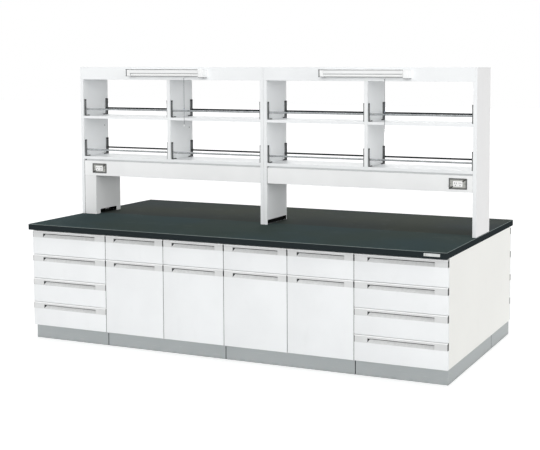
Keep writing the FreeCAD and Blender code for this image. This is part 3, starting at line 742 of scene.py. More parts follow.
@dataclass
class Workshop:
    """Models pieces with Blender's own operators, on one selected piece at a time.

    Attributes:
        smooth_turn: Faces that turn by less than this are shaded as one.
        corner_turn: Edges that turn by more than this count as corners.
        overcut: How far a cutter runs past the face that it starts at.
    """

    smooth_turn: float = math.radians(20)
    corner_turn: float = math.radians(35)
    overcut: float = 0.003

    def only(self, piece: Piece) -> None:
        """Leaves just this piece selected and active.

        Args:
            piece: The piece.
        """
        bpy.ops.object.select_all(action="DESELECT")
        piece.select_set(True)
        bpy.context.view_layer.objects.active = piece

    def settle(self, name: str) -> Piece:
        """Names the newly added primitive and moves its place into its mesh.

        Args:
            name: The piece's name.

        Returns:
            The piece.
        """
        piece = bpy.context.active_object
        piece.name = piece.data.name = name
        bpy.ops.object.transform_apply(location=True, rotation=True, scale=True)
        return piece

    def block(self, name: str, low: Place, high: Place) -> Piece:
        """A squared blank between two corners, which are given in any order.

        Args:
            name: The piece's name.
            low: One corner.
            high: The opposite corner.

        Returns:
            The blank.
        """
        bpy.ops.object.select_all(action="DESELECT")
        middle = [(a + b) / 2 for a, b in zip(low, high)]
        size = [abs(b - a) for a, b in zip(low, high)]
        bpy.ops.mesh.primitive_cube_add(size=1.0, location=middle, scale=size)
        return self.settle(name)

    def turned(self, name: str, base: Place, stations: Profile, axis: Axis = Axis.Z,
               sides: int = 24) -> Piece:
        """A turned part: a disc drawn from station to station and resized at each.

        Args:
            name: The piece's name.
            base: Where its axis starts.
            stations: Distance along the axis and radius there, in order.
            axis: The direction it runs in.
            sides: How many sides its section has.

        Returns:
            The closed part.
        """
        bpy.ops.object.select_all(action="DESELECT")
        (reach, radius), *rest = stations
        bpy.ops.mesh.primitive_circle_add(vertices=sides, radius=radius, fill_type="NGON",
                                          location=(0, 0, reach))
        piece = self.settle(name)
        bpy.ops.object.mode_set(mode="EDIT")
        bpy.ops.mesh.select_all(action="SELECT")
        for next_reach, next_radius in rest:
            bpy.ops.mesh.extrude_region_move(TRANSFORM_OT_translate={"value": (0, 0, next_reach - reach)})
            scale = next_radius / radius
            bpy.ops.transform.resize(value=(scale, scale, 1), center_override=(0, 0, next_reach))
            reach, radius = next_reach, next_radius
        bpy.ops.mesh.select_all(action="SELECT")
        bpy.ops.mesh.normals_make_consistent(inside=False)
        bpy.ops.object.mode_set(mode="OBJECT")
        piece.rotation_euler = axis.turn()
        piece.location = base
        bpy.ops.object.transform_apply(location=True, rotation=True, scale=True)
        return piece

    def choose(self, piece: Piece, element: Element, test: Test) -> None:
        """Enters edit mode with the chosen elements selected.

        Args:
            piece: The piece to edit.
            element: What is selected.
            test: Called with an element's middle and with its normal or, for an edge, its run.
        """
        self.only(piece)
        bpy.ops.object.mode_set(mode="EDIT")
        bpy.ops.mesh.select_mode(type=element.value)
        bpy.ops.mesh.select_all(action="DESELECT")
        mesh = bmesh.from_edit_mesh(piece.data)
        mesh.normal_update()
        if element is Element.FACE:
            chosen = [face for face in mesh.faces if test(face.calc_center_median(), face.normal)]
        elif element is Element.EDGE:
            ends = [(edge, edge.verts[0].co, edge.verts[1].co) for edge in mesh.edges]
            chosen = [edge for edge, start, stop in ends if test((start + stop) / 2, stop - start)]
        else:
            chosen = [point for point in mesh.verts if test(point.co, point.normal)]
        for item in chosen:
            item.select_set(True)
        mesh.select_flush_mode()
        bmesh.update_edit_mesh(piece.data)

    def worked(self, piece: Piece, element: Element, test: Test, *tools: Tool) -> Piece:
        """Uses tools on chosen elements, in edit mode.

        Args:
            piece: The piece.
            element: What is selected.
            test: Picks the elements.
            tools: The operators, in order.

        Returns:
            The piece.
        """
        self.choose(piece, element, test)
        for tool in tools:
            tool()
        bpy.ops.object.mode_set(mode="OBJECT")
        return piece

    def shift(self, piece: Piece, test: Test, offset: Place) -> Piece:
        """Moves the chosen points."""
        return self.worked(piece, Element.POINT, test, lambda: bpy.ops.transform.translate(value=offset))

    def draw_out(self, piece: Piece, test: Test, offset: Place) -> Piece:
        """Extrudes the chosen faces along the offset."""
        return self.worked(piece, Element.FACE, test, lambda: bpy.ops.mesh.extrude_region_move(
            TRANSFORM_OT_translate={"value": offset}))

    def sink(self, piece: Piece, test: Test, rim: float, offset: Place) -> Piece:
        """Draws a rim around the chosen faces and pushes what is inside it along the offset."""
        return self.worked(
            piece, Element.FACE, test, lambda: bpy.ops.mesh.inset(thickness=rim, use_even_offset=True),
            lambda: bpy.ops.mesh.extrude_region_move(TRANSFORM_OT_translate={"value": offset}))

    def round_edges(self, piece: Piece, test: Test, radius: float, segments: int = 3) -> Piece:
        """Rounds the chosen edges."""
        return self.worked(piece, Element.EDGE, test, lambda: bpy.ops.mesh.bevel(
            offset=radius, segments=segments, affect="EDGES", clamp_overlap=True))

    def divide(self, piece: Piece, point: Place, normal: Place) -> Piece:
        """Draws a line around the piece where a plane meets it."""
        return self.worked(piece, Element.FACE, everywhere, lambda: bpy.ops.mesh.bisect(
            plane_co=point, plane_no=normal))

    def soften(self, piece: Piece, width: float, segments: int = 2) -> Piece:
        """Breaks every corner that is still sharp, with a modifier that is applied.

        Args:
            piece: The piece.
            width: How wide the broken corner is.
            segments: Faces across it.

        Returns:
            The piece.
        """
        self.only(piece)
        bpy.ops.object.modifier_add(type="BEVEL")
        tool = piece.modifiers[-1]
        tool.width = width
        tool.segments = segments
        tool.limit_method = "ANGLE"
        tool.angle_limit = self.corner_turn
        bpy.ops.object.modifier_apply(modifier=tool.name)
        return piece

    def subtract(self, piece: Piece, *cutters: Piece) -> Piece:
        """Cuts the cutters out of the piece and puts them away.

        Args:
            piece: The piece.
            cutters: What is taken away.

        Returns:
            The piece.
        """
        for cutter in cutters:
            self.only(piece)
            bpy.ops.object.modifier_add(type="BOOLEAN")
            tool = piece.modifiers[-1]
            tool.operation = "DIFFERENCE"
            tool.solver = "EXACT"
            tool.object = cutter
            bpy.ops.object.modifier_apply(modifier=tool.name)
            bpy.data.meshes.remove(cutter.data)
        return piece

    def cut(self, piece: Piece, low: Place, high: Place) -> Piece:
        """Cuts a squared opening between two corners."""
        return self.subtract(piece, self.block("cutter", low, high))

    def join(self, name: str, pieces: list[Piece]) -> Piece:
        """Makes one piece of several that are fastened together.

        Args:
            name: The name of the whole.
            pieces: What is joined, the first of which takes in the rest.

        Returns:
            The whole.
        """
        self.only(pieces[0])
        for piece in pieces[1:]:
            piece.select_set(True)
        bpy.ops.object.join()
        pieces[0].name = pieces[0].data.name = name
        return pieces[0]

    def copy(self, piece: Piece, name: str, offset: Place = (0.0, 0.0, 0.0),
             half_turn: bool = False) -> Piece:
        """A copy with its own mesh.

        Args:
            piece: What is copied.
            name: The copy's name.
            offset: How far it is moved.
            half_turn: Whether it is then turned half round the bench's upright axis.

        Returns:
            The copy.
        """
        made = bpy.data.objects.new(name, piece.data.copy())
        made.data.name = name
        bpy.context.scene.collection.objects.link(made)
        turn = Matrix.Rotation(math.pi if half_turn else 0.0, 4, "Z")
        made.data.transform(turn @ Matrix.Translation(offset))
        return made

    def inlay(self, piece: Piece, look: Look, test: Test) -> None:
        """Gives the chosen faces a finish of their own.

        Args:
            piece: The piece.
            look: The finish.
            test: Picks faces.
        """
        materials = piece.data.materials
        if finish(look).name not in materials:
            materials.append(finish(look))
        number = materials.find(finish(look).name)
        for face in piece.data.polygons:
            if test(face.center, face.normal):
                face.material_index = number

    def smooth(self, piece: Piece) -> None:
        """Shades rounded stretches as one and leaves corners crisp."""
        self.only(piece)
        bpy.ops.object.shade_smooth_by_angle(angle=self.smooth_turn)


@dataclass
class SubAssembly:
    """What every sub-assembly shares."""

    shop: Workshop

    def dress(self, piece: Piece, look: Look, *inlays: tuple[Look, Test]) -> Piece:
        """Gives a modelled piece its finish, and chosen faces another one.

        Args:
            piece: The piece.
            look: Its finish.
            inlays: Other finishes, each with the test that picks its faces.

        Returns:
            The piece.
        """
        piece.data.materials.clear()
        piece.data.materials.append(finish(look))
        for other, test in inlays:
            self.shop.inlay(piece, other, test)
        self.shop.smooth(piece)
        return piece

    def seat(self, piece: Piece, body: str, look: Look, *nodes: str) -> Piece:
        """Puts a dressed piece on its body, in the place of the CAD nodes that it stands for.

        Args:
            piece: The piece.
            body: The body that it rides on.
            look: Its finish; not used.
            nodes: The CAD nodes.

        Returns:
            The piece.
        """
        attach(piece, body)
        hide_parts(*nodes)
        log.info("%s on %s: %d faces", piece.name, body, len(getattr(piece.data, "polygons", ())))
        return piece

    def pair(self, piece: Piece, twin: str, look: Look, node: str, offset: Optional[Place] = None) -> None:
        """Seats a piece and its copy on the bench.

        Args:
            piece: The piece.
            twin: The copy's name.
            look: The finish of both.
            node: The CAD node that both stand for.
            offset: How far the copy is moved, or None where it is turned half round.
        """
        if offset is None:
            other = self.shop.copy(piece, twin, half_turn=True)
        else:
            other = self.shop.copy(piece, twin, offset)
        for made in (piece, other):
            self.seat(made, "bench", look, node)


# ---- studio

@dataclass
class Studio:
    """Pale floor, plain soft light and the camera."""

    shop: Workshop
    camera_place: Place = (3.4468, -6.7686, 1.8789)
    camera_turn: Place = (85.935, 0.0, 23.064)
    lens: float = 73.374
    shift: Span = (-0.146, -0.15)
    view_depth: float = 200.0
    floor_size: float = 80.0
    floor_colour: str = "#efefef"
    floor_roughness: float = 0.9
    ambient: float = 0.54
    glow: float = 0.44
    suns: dict[str, tuple[Place, float, float]] = field(default_factory=lambda: {
        "key_front": ((0.20, -1.0, 0.17), 1.23, 30.0),
        "fill_right": ((1.0, -0.25, 0.30), 0.84, 40.0),
        "fill_rear": ((-0.35, 1.0, 0.60), 1.00, 40.0),
    })

    def build(self) -> None:
        """Sets the camera first, then the floor and the lights."""
        self.camera()
        self.floor()
        self.world()
        for name, (direction, strength, spread) in self.suns.items():
            self.sun(name, direction, strength, spread)
        bpy.context.scene.view_settings.view_transform = "Standard"

    def camera(self) -> None:
        """The camera, a little right of the bench's front."""
        data = bpy.data.cameras.new("camera")
        data.lens = self.lens
        data.shift_x, data.shift_y = self.shift
        data.clip_end = self.view_depth
        camera = bpy.data.objects.new("camera", data)
        camera.location = self.camera_place
        camera.rotation_euler = [math.radians(angle) for angle in self.camera_turn]
        bpy.context.scene.collection.objects.link(camera)
        bpy.context.scene.camera = camera

    def seen(self, recipe: Recipe) -> Signal:
        """1 for what the camera sees, straight or in a reflection, and 0 for light on its way."""
        rays = [recipe.node("LightPath", output=name) for name in
                ("Is Camera Ray", "Is Glossy Ray", "Is Transmission Ray")]
        return rays[0].most(rays[1]).most(rays[2])

    def floor(self) -> None:
        """A wide pale floor that keeps the bench's shadow."""
        bpy.ops.object.select_all(action="DESELECT")
        bpy.ops.mesh.primitive_plane_add(size=self.floor_size)
        floor = self.shop.settle("floor")
        material = bpy.data.materials.new("floor_white")
        material.use_nodes = True
        recipe = Recipe(material.node_tree)
        shader = recipe.node("BsdfPrincipled", {}, {
            "Base Color": shade(self.floor_colour), "Roughness": self.floor_roughness,
            "Specular IOR Level": 0.0, "Emission Color": WHITE,
            "Emission Strength": self.seen(recipe) * self.glow})
        recipe.result("Material", shader)
        floor.data.materials.append(material)

    def world(self) -> None:
        """White all round for the camera, and an even ambient light for the bench."""
        world = bpy.data.worlds.new("studio")
        world.use_nodes = True
        bpy.context.scene.world = world
        recipe = Recipe(world.node_tree)
        strength = self.ambient + self.seen(recipe) * (1.0 - self.ambient)
        light = recipe.node("Background", {}, {"Color": WHITE, "Strength": strength})
        recipe.result("World", light)

    def sun(self, name: str, direction: Place, strength: float, spread: float) -> None:
        """A soft distant light that shines from a direction.

        Args:
            name: The light's name.
            direction: Where it shines from.
            strength: How bright it is.
            spread: How wide its disc is, in degrees.
        """
        data = bpy.data.lights.new(name, "SUN")
        data.energy = strength
        data.angle = math.radians(spread)
        sun = bpy.data.objects.new(name, data)
        sun.rotation_euler = Vector(direction).to_track_quat("Z", "Y").to_euler()
        bpy.context.scene.collection.objects.link(sun)


# ---- pull switches

@dataclass
class PullSwitches(SubAssembly):
    """The cord of each lamp's switch, with its stem, bead and knob."""

    lamp_middle: float = 0.74875
    switch_offset: float = 0.136
    exit_y: float = -0.165
    exit_z: float = 1.797
    drop: float = 0.327
    bow: float = 0.0015
    cord_radius: float = 0.00125
    stem_radius: float = 0.0026
    stem_length: float = 0.018
    stem_arris: float = 0.0006
    stem_end: float = 0.8
    bead_above_knob: float = 0.112
    bead_half: float = 0.0045
    bead_radius: float = 0.0036
    bead_profile: Profile = ((-1.0, 0.55), (-0.8, 0.8), (-0.35, 1.0), (-0.1, 1.0), (-0.05, 0.9),
                             (0.05, 0.9), (0.1, 1.0), (0.35, 1.0), (0.8, 0.8), (1.0, 0.55))
    knob_radius: float = 0.0055
    knob_height: float = 0.014
    knob_profile: Profile = ((0.0, 0.40), (0.03, 0.62), (0.12, 0.84), (0.28, 0.97), (0.45, 1.0),
                             (0.62, 0.96), (0.80, 0.78), (0.93, 0.5), (1.0, 0.40))

    def build(self) -> None:
        """Both switches."""
        for side, middle in (("left", -self.lamp_middle), ("right", self.lamp_middle)):
            exit_point = (middle + self.switch_offset, self.exit_y, self.exit_z)
            knob = self.knob(f"pull_knob_{side}_bell", exit_point)
            cord = self.cord(f"pull_cord_{side}_braid", exit_point)
            self.seat(knob, f"pull_{side}", Look.KNOB, f"pull_knob_{side}")
            self.seat(cord, f"pull_{side}", Look.CORD, f"pull_cord_{side}")

    def cord(self, name: str, exit_point: Place) -> Piece:
        """The cord, a smooth line that strays a little from the plumb.

        Args:
            name: The piece's name.
            exit_point: Where the cord leaves the lamp.

        Returns:
            The cord.
        """
        x, y, z = exit_point
        route = [(x, y, z), (x + self.bow, y - self.bow / 2, z - self.drop / 2), (x, y, z - self.drop)]
        curve = bpy.data.curves.new(name, "CURVE")
        curve.dimensions = "3D"
        curve.bevel_depth = self.cord_radius
        curve.bevel_resolution = 3
        curve.use_fill_caps = True
        line = curve.splines.new("NURBS")
        line.points.add(len(route) - 1)
        for point, place in zip(line.points, route):
            point.co = (*place, 1.0)
        line.order_u = 3
        line.use_endpoint_u = True
        line.resolution_u = 16
        curve.materials.append(finish(Look.CORD))
        cord = bpy.data.objects.new(name, curve)
        bpy.context.scene.collection.objects.link(cord)
        return cord

    def knob(self, name: str, exit_point: Place) -> Piece:
        """Stem, bead and bell-shaped knob, which travel together.

        Args:
            name: The piece's name.
            exit_point: Where the cord leaves the lamp.

        Returns:
            The dressed piece.
        """
        x, y, z = exit_point
        along = 1 - self.bead_above_knob / self.drop
        stray = 2 * along * (1 - along) * self.bow
        bead_z = z - self.drop + self.bead_above_knob
        bead = self.shop.turned("bead", (x + stray, y - stray / 2, bead_z),
                                scaled(self.bead_profile, self.bead_half, self.bead_radius))
        bell = self.shop.turned("bell", (x, y, z - self.drop - self.knob_height),
                                scaled(self.knob_profile, self.knob_height, self.knob_radius))
        radius, end = self.stem_radius, self.stem_end * self.stem_radius
        stem = self.shop.turned("stem", (x, y, z), (
            (0.0, end), (self.stem_arris, radius), (self.stem_length - self.stem_arris, radius),
            (self.stem_length, end)))
        return self.dress(self.shop.join(name, [bell, bead, stem]), Look.KNOB,
                          (Look.BEAD, lambda place, normal: abs(place.z - bead_z) < self.bead_half + TINY))


# ---- worktop, ends and plinth

@dataclass
class Top(SubAssembly):
    """Four dark slabs, with a drip groove under the long edges and a blank plate let into the front."""

    edge_radius: float = 0.0025
    arris: float = 0.0007
    drip_setback: float = 0.016
    drip_width: float = 0.005
    drip_depth: float = 0.004
    plate_length: float = 0.100
    plate_height: float = 0.018
    plate_from_end: float = 0.042
    plate_drop: float = 0.010
    pocket_depth: float = 0.0015
    pocket_play: float = 0.0008
    plate_setback: float = 0.0004
    plate_corner: float = 0.002
    plate_rim: float = 0.0014
    plate_sink: float = 0.0003
    plate_arris: float = 0.0002

    def build(self) -> None:
        """The slabs and the plate."""
        # The rear slabs take the browner copy: painted shade and reflection.
        for row, look in (("front", Look.TOP), ("rear", Look.TOP_REAR)):
            node = f"worktop_{row}"
            low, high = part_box(node)
            for side, x0, x1 in (("left", low.x, 0.0), ("right", 0.0, high.x)):
                slab = self.slab(f"{node}_{side}", (x0, low.y, low.z), (x1, high.y, high.z))
                self.seat(self.dress(slab, look), "bench", look, node)
        plate = self.dress(self.plate(), Look.NAME_PLATE)
        self.seat(plate, "bench", Look.NAME_PLATE, "worktop_front")

    def pocket(self, grow: float, y0: float, y1: float) -> tuple[Place, Place]:
        """Corners of the plate's place on the front edge, grown by a clearance.

        Args:
            grow: How much larger it is all round.
            y0: Its start behind the edge.
            y1: Its depth behind the edge.

        Returns:
            Its lower and upper corner.
        """
        low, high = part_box("worktop_front")
        x1 = high.x - self.plate_from_end
        z1 = high.z - self.plate_drop
        return ((x1 - self.plate_length - grow, low.y + y0, z1 - self.plate_height - grow),
                (x1 + grow, low.y + y1, z1 + grow))

    def slab(self, name: str, low: Place, high: Place) -> Piece:
        """One slab, rounded along the bench's outline.

        Args:
            name: The piece's name.
            low: Its lower corner.
            high: Its upper corner.

        Returns:
            The slab.
        """
        slab = self.shop.block(name, low, high)
        outer_x = low[0] if low[0] < -TINY else high[0]
        outer_y = low[1] if name.startswith("worktop_front") else high[1]
        inward = math.copysign(1.0, -outer_y)
        self.shop.round_edges(slab, lambda middle, run: at(middle.z, high[2]) and (
            at(middle.x, outer_x) or at(middle.y, outer_y)), self.edge_radius)
        groove = outer_y + inward * self.drip_setback
        over = self.shop.overcut
        self.shop.cut(slab, (low[0] - over, groove, low[2] - over),
                      (high[0] + over, groove + inward * self.drip_width, low[2] + self.drip_depth))
        if name == "worktop_front_right":
            self.shop.cut(slab, *self.pocket(self.pocket_play, -over, self.pocket_depth))
        return self.shop.soften(slab, self.arris)

    def plate(self) -> Piece:
        """The blank plate, with a raised rim, just behind the edge's face.

        Returns:
            The plate.
        """
        corners = self.pocket(0.0, self.plate_setback, self.pocket_depth)
        plate = self.shop.block("worktop_blank_plate", *corners)
        self.shop.round_edges(plate, running(Axis.Y), self.plate_corner)
        self.shop.sink(plate, facing(Axis.Y, -1), self.plate_rim, (0.0, self.plate_sink, 0.0))
        return self.shop.soften(plate, self.plate_arris)


@dataclass
class Ends(SubAssembly):
    """The white panels that close the bench's two ends."""

    thickness: float = 0.018
    arris: float = 0.0009

    def build(self) -> None:
        """Both panels."""
        low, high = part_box("end_panels")
        left = self.shop.block("bench_end_left", low, (low.x + self.thickness, high.y, high.z))
        # The end panels wear the warmer, greyer copy of the white board: painted shade.
        self.dress(self.shop.soften(left, self.arris), Look.END)
        self.pair(left, "bench_end_right", Look.END, "end_panels")


@dataclass
class Plinth(SubAssembly):
    """Grey boards round the foot of the bench, jointed at each cabinet."""

    thickness: float = 0.015
    joint: float = 0.0036
    arris: float = 0.0010
    end_joint_y: float = 0.240

    def build(self) -> None:
        """One long side and one end, then their turned copies."""
        low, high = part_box("plinth_boards")
        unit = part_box("carcass_door_units")[1].x
        stops = [low.x, -unit, 0.0, unit, high.x]
        gap = self.joint / 2
        long_side = [self.board((x0 + gap * (x0 > low.x), low.y, low.z),
                                (x1 - gap * (x1 < high.x), low.y + self.thickness, high.z))
                     for x0, x1 in zip(stops[:-1], stops[1:])]
        start, stop = low.y + self.thickness, high.y - self.thickness
        end = [self.board((high.x - self.thickness, y0, low.z), (high.x, y1, high.z))
               for y0, y1 in ((start, self.end_joint_y - gap), (self.end_joint_y + gap, stop))]
        for name, turned_name, boards, along in (("plinth_front", "plinth_rear", long_side, 0),
                                                 ("plinth_right", "plinth_left", end, 1)):
            side = self.dress(self.shop.join(name, boards), Look.PLINTH,
                              # Painted shade on the board ends inside the joints.
                              (Look.JOINT_SHADE, lambda place, normal: abs(normal[along]) > 0.3
                               and abs(place[along]) < high[along] - 2 * self.thickness))
            self.pair(side, turned_name, Look.PLINTH, "plinth_boards")

    def board(self, low: Place, high: Place) -> Piece:
        """One plinth board."""
        return self.shop.soften(self.shop.block("board", low, high), self.arris)


# ---- drawers and doors

class Hinge(Enum):
    """The side of a front that it is hinged at."""

    NONE = 0
    LEFT = -1
    RIGHT = 1


@dataclass
class Fronts(SubAssembly):
    """The drawers and doors: white panels with grip strips, and what lies behind them."""

    thickness: float = 0.0185
    gap: float = 0.003
    edge_radius: float = 0.0012
    arris: float = 0.0004
    grip_height: float = 0.045
    lip_height: float = 0.017
    lip_thickness: float = 0.005
    cap_thickness: float = 0.005
    web_thickness: float = 0.0025
    end_play: float = 0.0005
    filler_share: float = 0.14
    filler_slant: float = 0.020
    # The next three: width of the painted shade band at each end of a grip strip, height of the painted
    # highlight along its top, and height of the painted shade under its lip.
    end_cap: float = 0.0022
    bright_height: float = 0.0065
    dark_height: float = 0.0065
    grip_relief: float = 0.002
    web_relief: float = 0.009
    door_chamfer: float = 0.007
    pin_inset: float = 0.009
    pin_depth: float = 0.005
    pin_radius: float = 0.002
    pin_length: float = 0.0027
    pin_tip: float = 0.0004
    cabinet_board: float = 0.018
    runner_space: float = 0.013
    box_board: float = 0.012
    box_bottom: float = 0.006
    box_low: float = 0.025
    box_high: float = 0.027
    back_drop: float = 0.008
    runner_rise: float = 0.035
    bar_thickness: float = 0.005
    bar_half: float = 0.0177
    bar_setback: float = 0.010
    bar_groove: float = 0.0016
    masters: dict[tuple[str, int], tuple[Piece, Vector]] = field(default_factory=dict)

    def __post_init__(self) -> None:
        """Reads the places of the front row."""
        low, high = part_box("front_left_drawer_1")
        self.face = low.y
        self.back = low.y + self.thickness
        self.box_stop = high.y
        self.drawer_height = high.z - low.z
        self.door_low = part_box("front_left_drawer_4")[0].z
        self.door_high = low.z - self.gap
        self.bench_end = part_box("end_panels")[1].x
        self.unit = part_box("carcass_door_units")[1].x

    def build(self) -> None:
        """The front row, and its turned copies as the rear row."""
        for side in ("left", "right"):
            for number in range(1, 5):
                self.drawer(f"{side}_drawer_{number}")
        for number in range(1, 5):
            self.drawer(f"middle_drawer_{number}")
            self.door(f"door_{number}", Hinge.LEFT if number % 2 else Hinge.RIGHT)

    def both_rows(self, piece: Piece, node: str, part: str, look: Look) -> None:
        """Seats a piece of the front row and its turned copy in the rear row.

        Args:
            piece: The piece.
            node: The front's name, without its row.
            part: What it is.
            look: Its finish.
        """
        turned = self.shop.copy(piece, f"rear_{node}_{part}", half_turn=True)
        for made, row in ((piece, "front"), (turned, "rear")):
            self.seat(made, f"{row}_{node}", look, f"{row}_{node}")

    def repeat(self, kind: str, name: str, low: Vector, width: float, make: Callable[[str], Piece]) -> Piece:
        """Models a kind of piece once for each width, and copies it after that.

        Args:
            kind: What it is.
            name: The new piece's name.
            low: The corner that its place is told by.
            width: Its width, which tells one size from another.
            make: Models and dresses it.

        Returns:
            The piece at its place.
        """
        key = (kind, round(width / TINY))
        if key not in self.masters:
            self.masters[key] = (make(name), low.copy())
            return self.masters[key][0]
        master, place = self.masters[key]
        return self.shop.copy(master, name, low - place)

    def drawer(self, node: str) -> None:
        """Panel, grip strip, box and slides of one drawer, in both rows.

        Args:
            node: The front's name, without its row.
        """
        low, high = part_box(f"front_{node}")
        width, top = high.x - low.x, high.z - self.grip_height
        room0, room1 = low.x + self.inset(low.x), high.x - self.inset(high.x)
        corner, room = Vector((room0, low.y, low.z)), room1 - room0
        side = node.split("_")[0]
        parts = (
            ("panel", Look.FRONT, low, width,
             lambda name: self.panel(name, low.x, high.x, low.z, top, Hinge.NONE)),
            ("grip", Look.GRIP, low, width,
             lambda name: self.grip(name, low.x, high.x, high.z, Hinge.NONE)),
            ("box", Look.CABINET, corner, room, lambda name: self.box(name, room0, room1, low.z)),
            ("slides", Look.RUNNER, corner, room, lambda name: self.slides(name, room0, room1, low.z)),
        )
        for part, look, place, size, make in parts:
            piece = self.repeat(f"{side}_{part}", f"front_{node}_{part}", place, size, make)
            self.both_rows(piece, node, part, look)

    def door(self, node: str, hinge: Hinge) -> None:
        """Panel, grip strip and pivot pins of one door, in both rows.

        Args:
            node: The front's name, without its row.
            hinge: Its hinged side.
        """
        low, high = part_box(f"front_{node}")
        width, top = high.x - low.x, self.door_high
        parts = (
            ("panel", Look.FRONT,
             lambda name: self.panel(name, low.x, high.x, self.door_low, top - self.grip_height, hinge)),
            ("grip", Look.GRIP, lambda name: self.grip(name, low.x, high.x, top, hinge)),
            ("pins", Look.RUNNER, lambda name: self.pins(name, low.x, high.x, hinge)),
        )
        for part, look, make in parts:
            piece = self.repeat(f"door_{part}_{hinge.name}", f"front_{node}_{part}", low, width, make)
            self.both_rows(piece, node, part, look)

    def inset(self, x: float) -> float:
        """How far the side of a drawer's room lies inside the front's edge at x.

        Args:
            x: The front's edge.

        Returns:
            The distance.
        """
        if at(abs(x), self.bench_end):
            return 2 * self.cabinet_board
        if abs(abs(x) - self.unit / 2) < self.gap:
            return self.cabinet_board / 2 - self.gap / 2
        return self.cabinet_board - self.gap / 2

    def panel(self, name: str, x0: float, x1: float, z0: float, z1: float, hinge: Hinge) -> Piece:
        """A white front, rounded at its face, chamfered behind its hinged edge.

        Args:
            name: The piece's name.
            x0: Its start along X.
            x1: Its end along X.
            z0: Its lower edge.
            z1: Its upper edge.
            hinge: Its hinged side.

        Returns:
            The dressed piece.
        """
        panel = self.shop.block(name, (x0, self.face, z0), (x1, self.back, z1))
        if hinge is not Hinge.NONE:
            edge = x0 if hinge is Hinge.LEFT else x1
            self.shop.round_edges(panel, lambda middle, run: at(middle.x, edge) and at(middle.y, self.back)
                                  and abs(run.z) > TINY, self.door_chamfer, 1)
        self.shop.round_edges(panel, lying(Axis.Y, self.face), self.edge_radius)
        return self.dress(self.shop.soften(panel, self.arris), Look.FRONT,
                          # Edge band on the side edges, darkened as painted shade in the gaps.
                          (Look.EDGE_BAND_GAP_SHADE, lambda place, normal: abs(normal.x) > SQUARE
                           and abs(abs(place.x) - self.bench_end) > self.gap))

    def grip(self, name: str, x0: float, x1: float, top: float, hinge: Hinge) -> Piece:
        """The strip along a front's top, with a channel behind its lip and a finger recess below.

        Args:
            name: The piece's name.
            x0: Its start along X.
            x1: Its end along X.
            top: Its upper edge.
            hinge: Its hinged side.

        Returns:
            The dressed piece.
        """
        over = self.shop.overcut
        start, stop = x0 + self.end_play, x1 - self.end_play
        filler = self.filler_share * (x1 - x0)
        recess0, recess1 = start + filler, stop - filler
        bottom, lip_z, cap_z = top - self.grip_height, top - self.lip_height, top - self.cap_thickness
        lip_y, web_y = self.face + self.lip_thickness, self.back - self.web_thickness
        strip = self.shop.block(name, (start, self.face, bottom), (stop, self.back, top))
        wedge = self.shop.block("cutter", (recess0, self.face - over, bottom), (recess1, web_y, lip_z))
        self.shop.shift(wedge, lambda point, normal: at(point.y, web_y) and at(point.z, bottom),
                        (0.0, self.face - web_y, 0.0))
        self.shop.shift(wedge, lying(Axis.Z, bottom), (0.0, 0.0, -TINY))
        self.shop.shift(wedge, lambda point, normal: at(point.y, web_y) and at(point.x, recess0),
                        (self.filler_slant, 0.0, 0.0))
        self.shop.cut(strip, (start - over, lip_y, lip_z), (stop + over, web_y, cap_z))
        self.shop.subtract(strip, wedge)
        if hinge is not Hinge.NONE:
            edge, side = (start, 1) if hinge is Hinge.LEFT else (stop, -1)
            near, far = edge - side * over, edge + side * self.grip_relief
            past, web_far = self.back + over, edge + side * self.web_relief
            self.shop.cut(strip, (near, lip_y, bottom - over), (far, past, top + over))
            self.shop.cut(strip, (near, self.face - over, bottom - over), (far, past, lip_z))
            self.shop.cut(strip, (near, web_y, bottom - over), (web_far, past, top + over))
        self.shop.round_edges(strip, lambda middle, run: at(middle.y, self.face)
                              and at(middle.z, top), self.edge_radius)
        highlight_z, dark_z = top - self.bright_height, lip_z - self.dark_height
        for z in (highlight_z, dark_z):
            self.shop.divide(strip, (start, self.face, z), (0, 0, 1))
        end_shade0, end_shade1 = start + self.end_cap, stop - self.end_cap
        for x in (end_shade0, end_shade1):
            self.shop.divide(strip, (x, self.face, top), (1, 0, 0))
        return self.dress(
            self.shop.soften(strip, self.arris), Look.GRIP,
            # Painted highlight along the strip's top edge.
            (Look.GRIP_HIGHLIGHT, lambda place, normal: place.z > highlight_z - TINY),
            # Painted shade: end faces and recess walls, narrow bands at the ends, and the channel under the
            # lip.
            (Look.GRIP_SHADE, lambda place, normal: abs(normal.x) > 0.5
             or not within(place.x, end_shade0, end_shade1) and place.z < highlight_z
             or within(place.z, dark_z, cap_z) and within(place.y, lip_y, web_y)))

    def box(self, name: str, room0: float, room1: float, z0: float) -> Piece:
        """The drawer's box, hollowed from above and rebated from below, with a lower back.

        Args:
            name: The piece's name.
            room0: The start of the drawer's room along X.
            room1: The end of that room.
            z0: The front's lower edge.

        Returns:
            The dressed piece.
        """
        over, wall, stop = self.shop.overcut, self.box_board, self.box_stop
        x0, x1 = room0 + self.runner_space, room1 - self.runner_space
        low, high = z0 + self.box_low, z0 + self.drawer_height - self.box_high
        box = self.shop.block(name, (x0, self.back, low), (x1, stop, high))
        self.shop.sink(box, facing(Axis.Z, -1), wall, (0.0, 0.0, self.box_bottom))
        self.shop.sink(box, facing(Axis.Z, 1), wall, (0.0, 0.0, low + 2 * self.box_bottom - high))
        self.shop.cut(box, (x0 + wall, stop - wall - TINY, high - self.back_drop),
                      (x1 - wall, stop + over, high + over))
        return self.dress(self.shop.soften(box, 2 * self.arris), Look.CABINET)

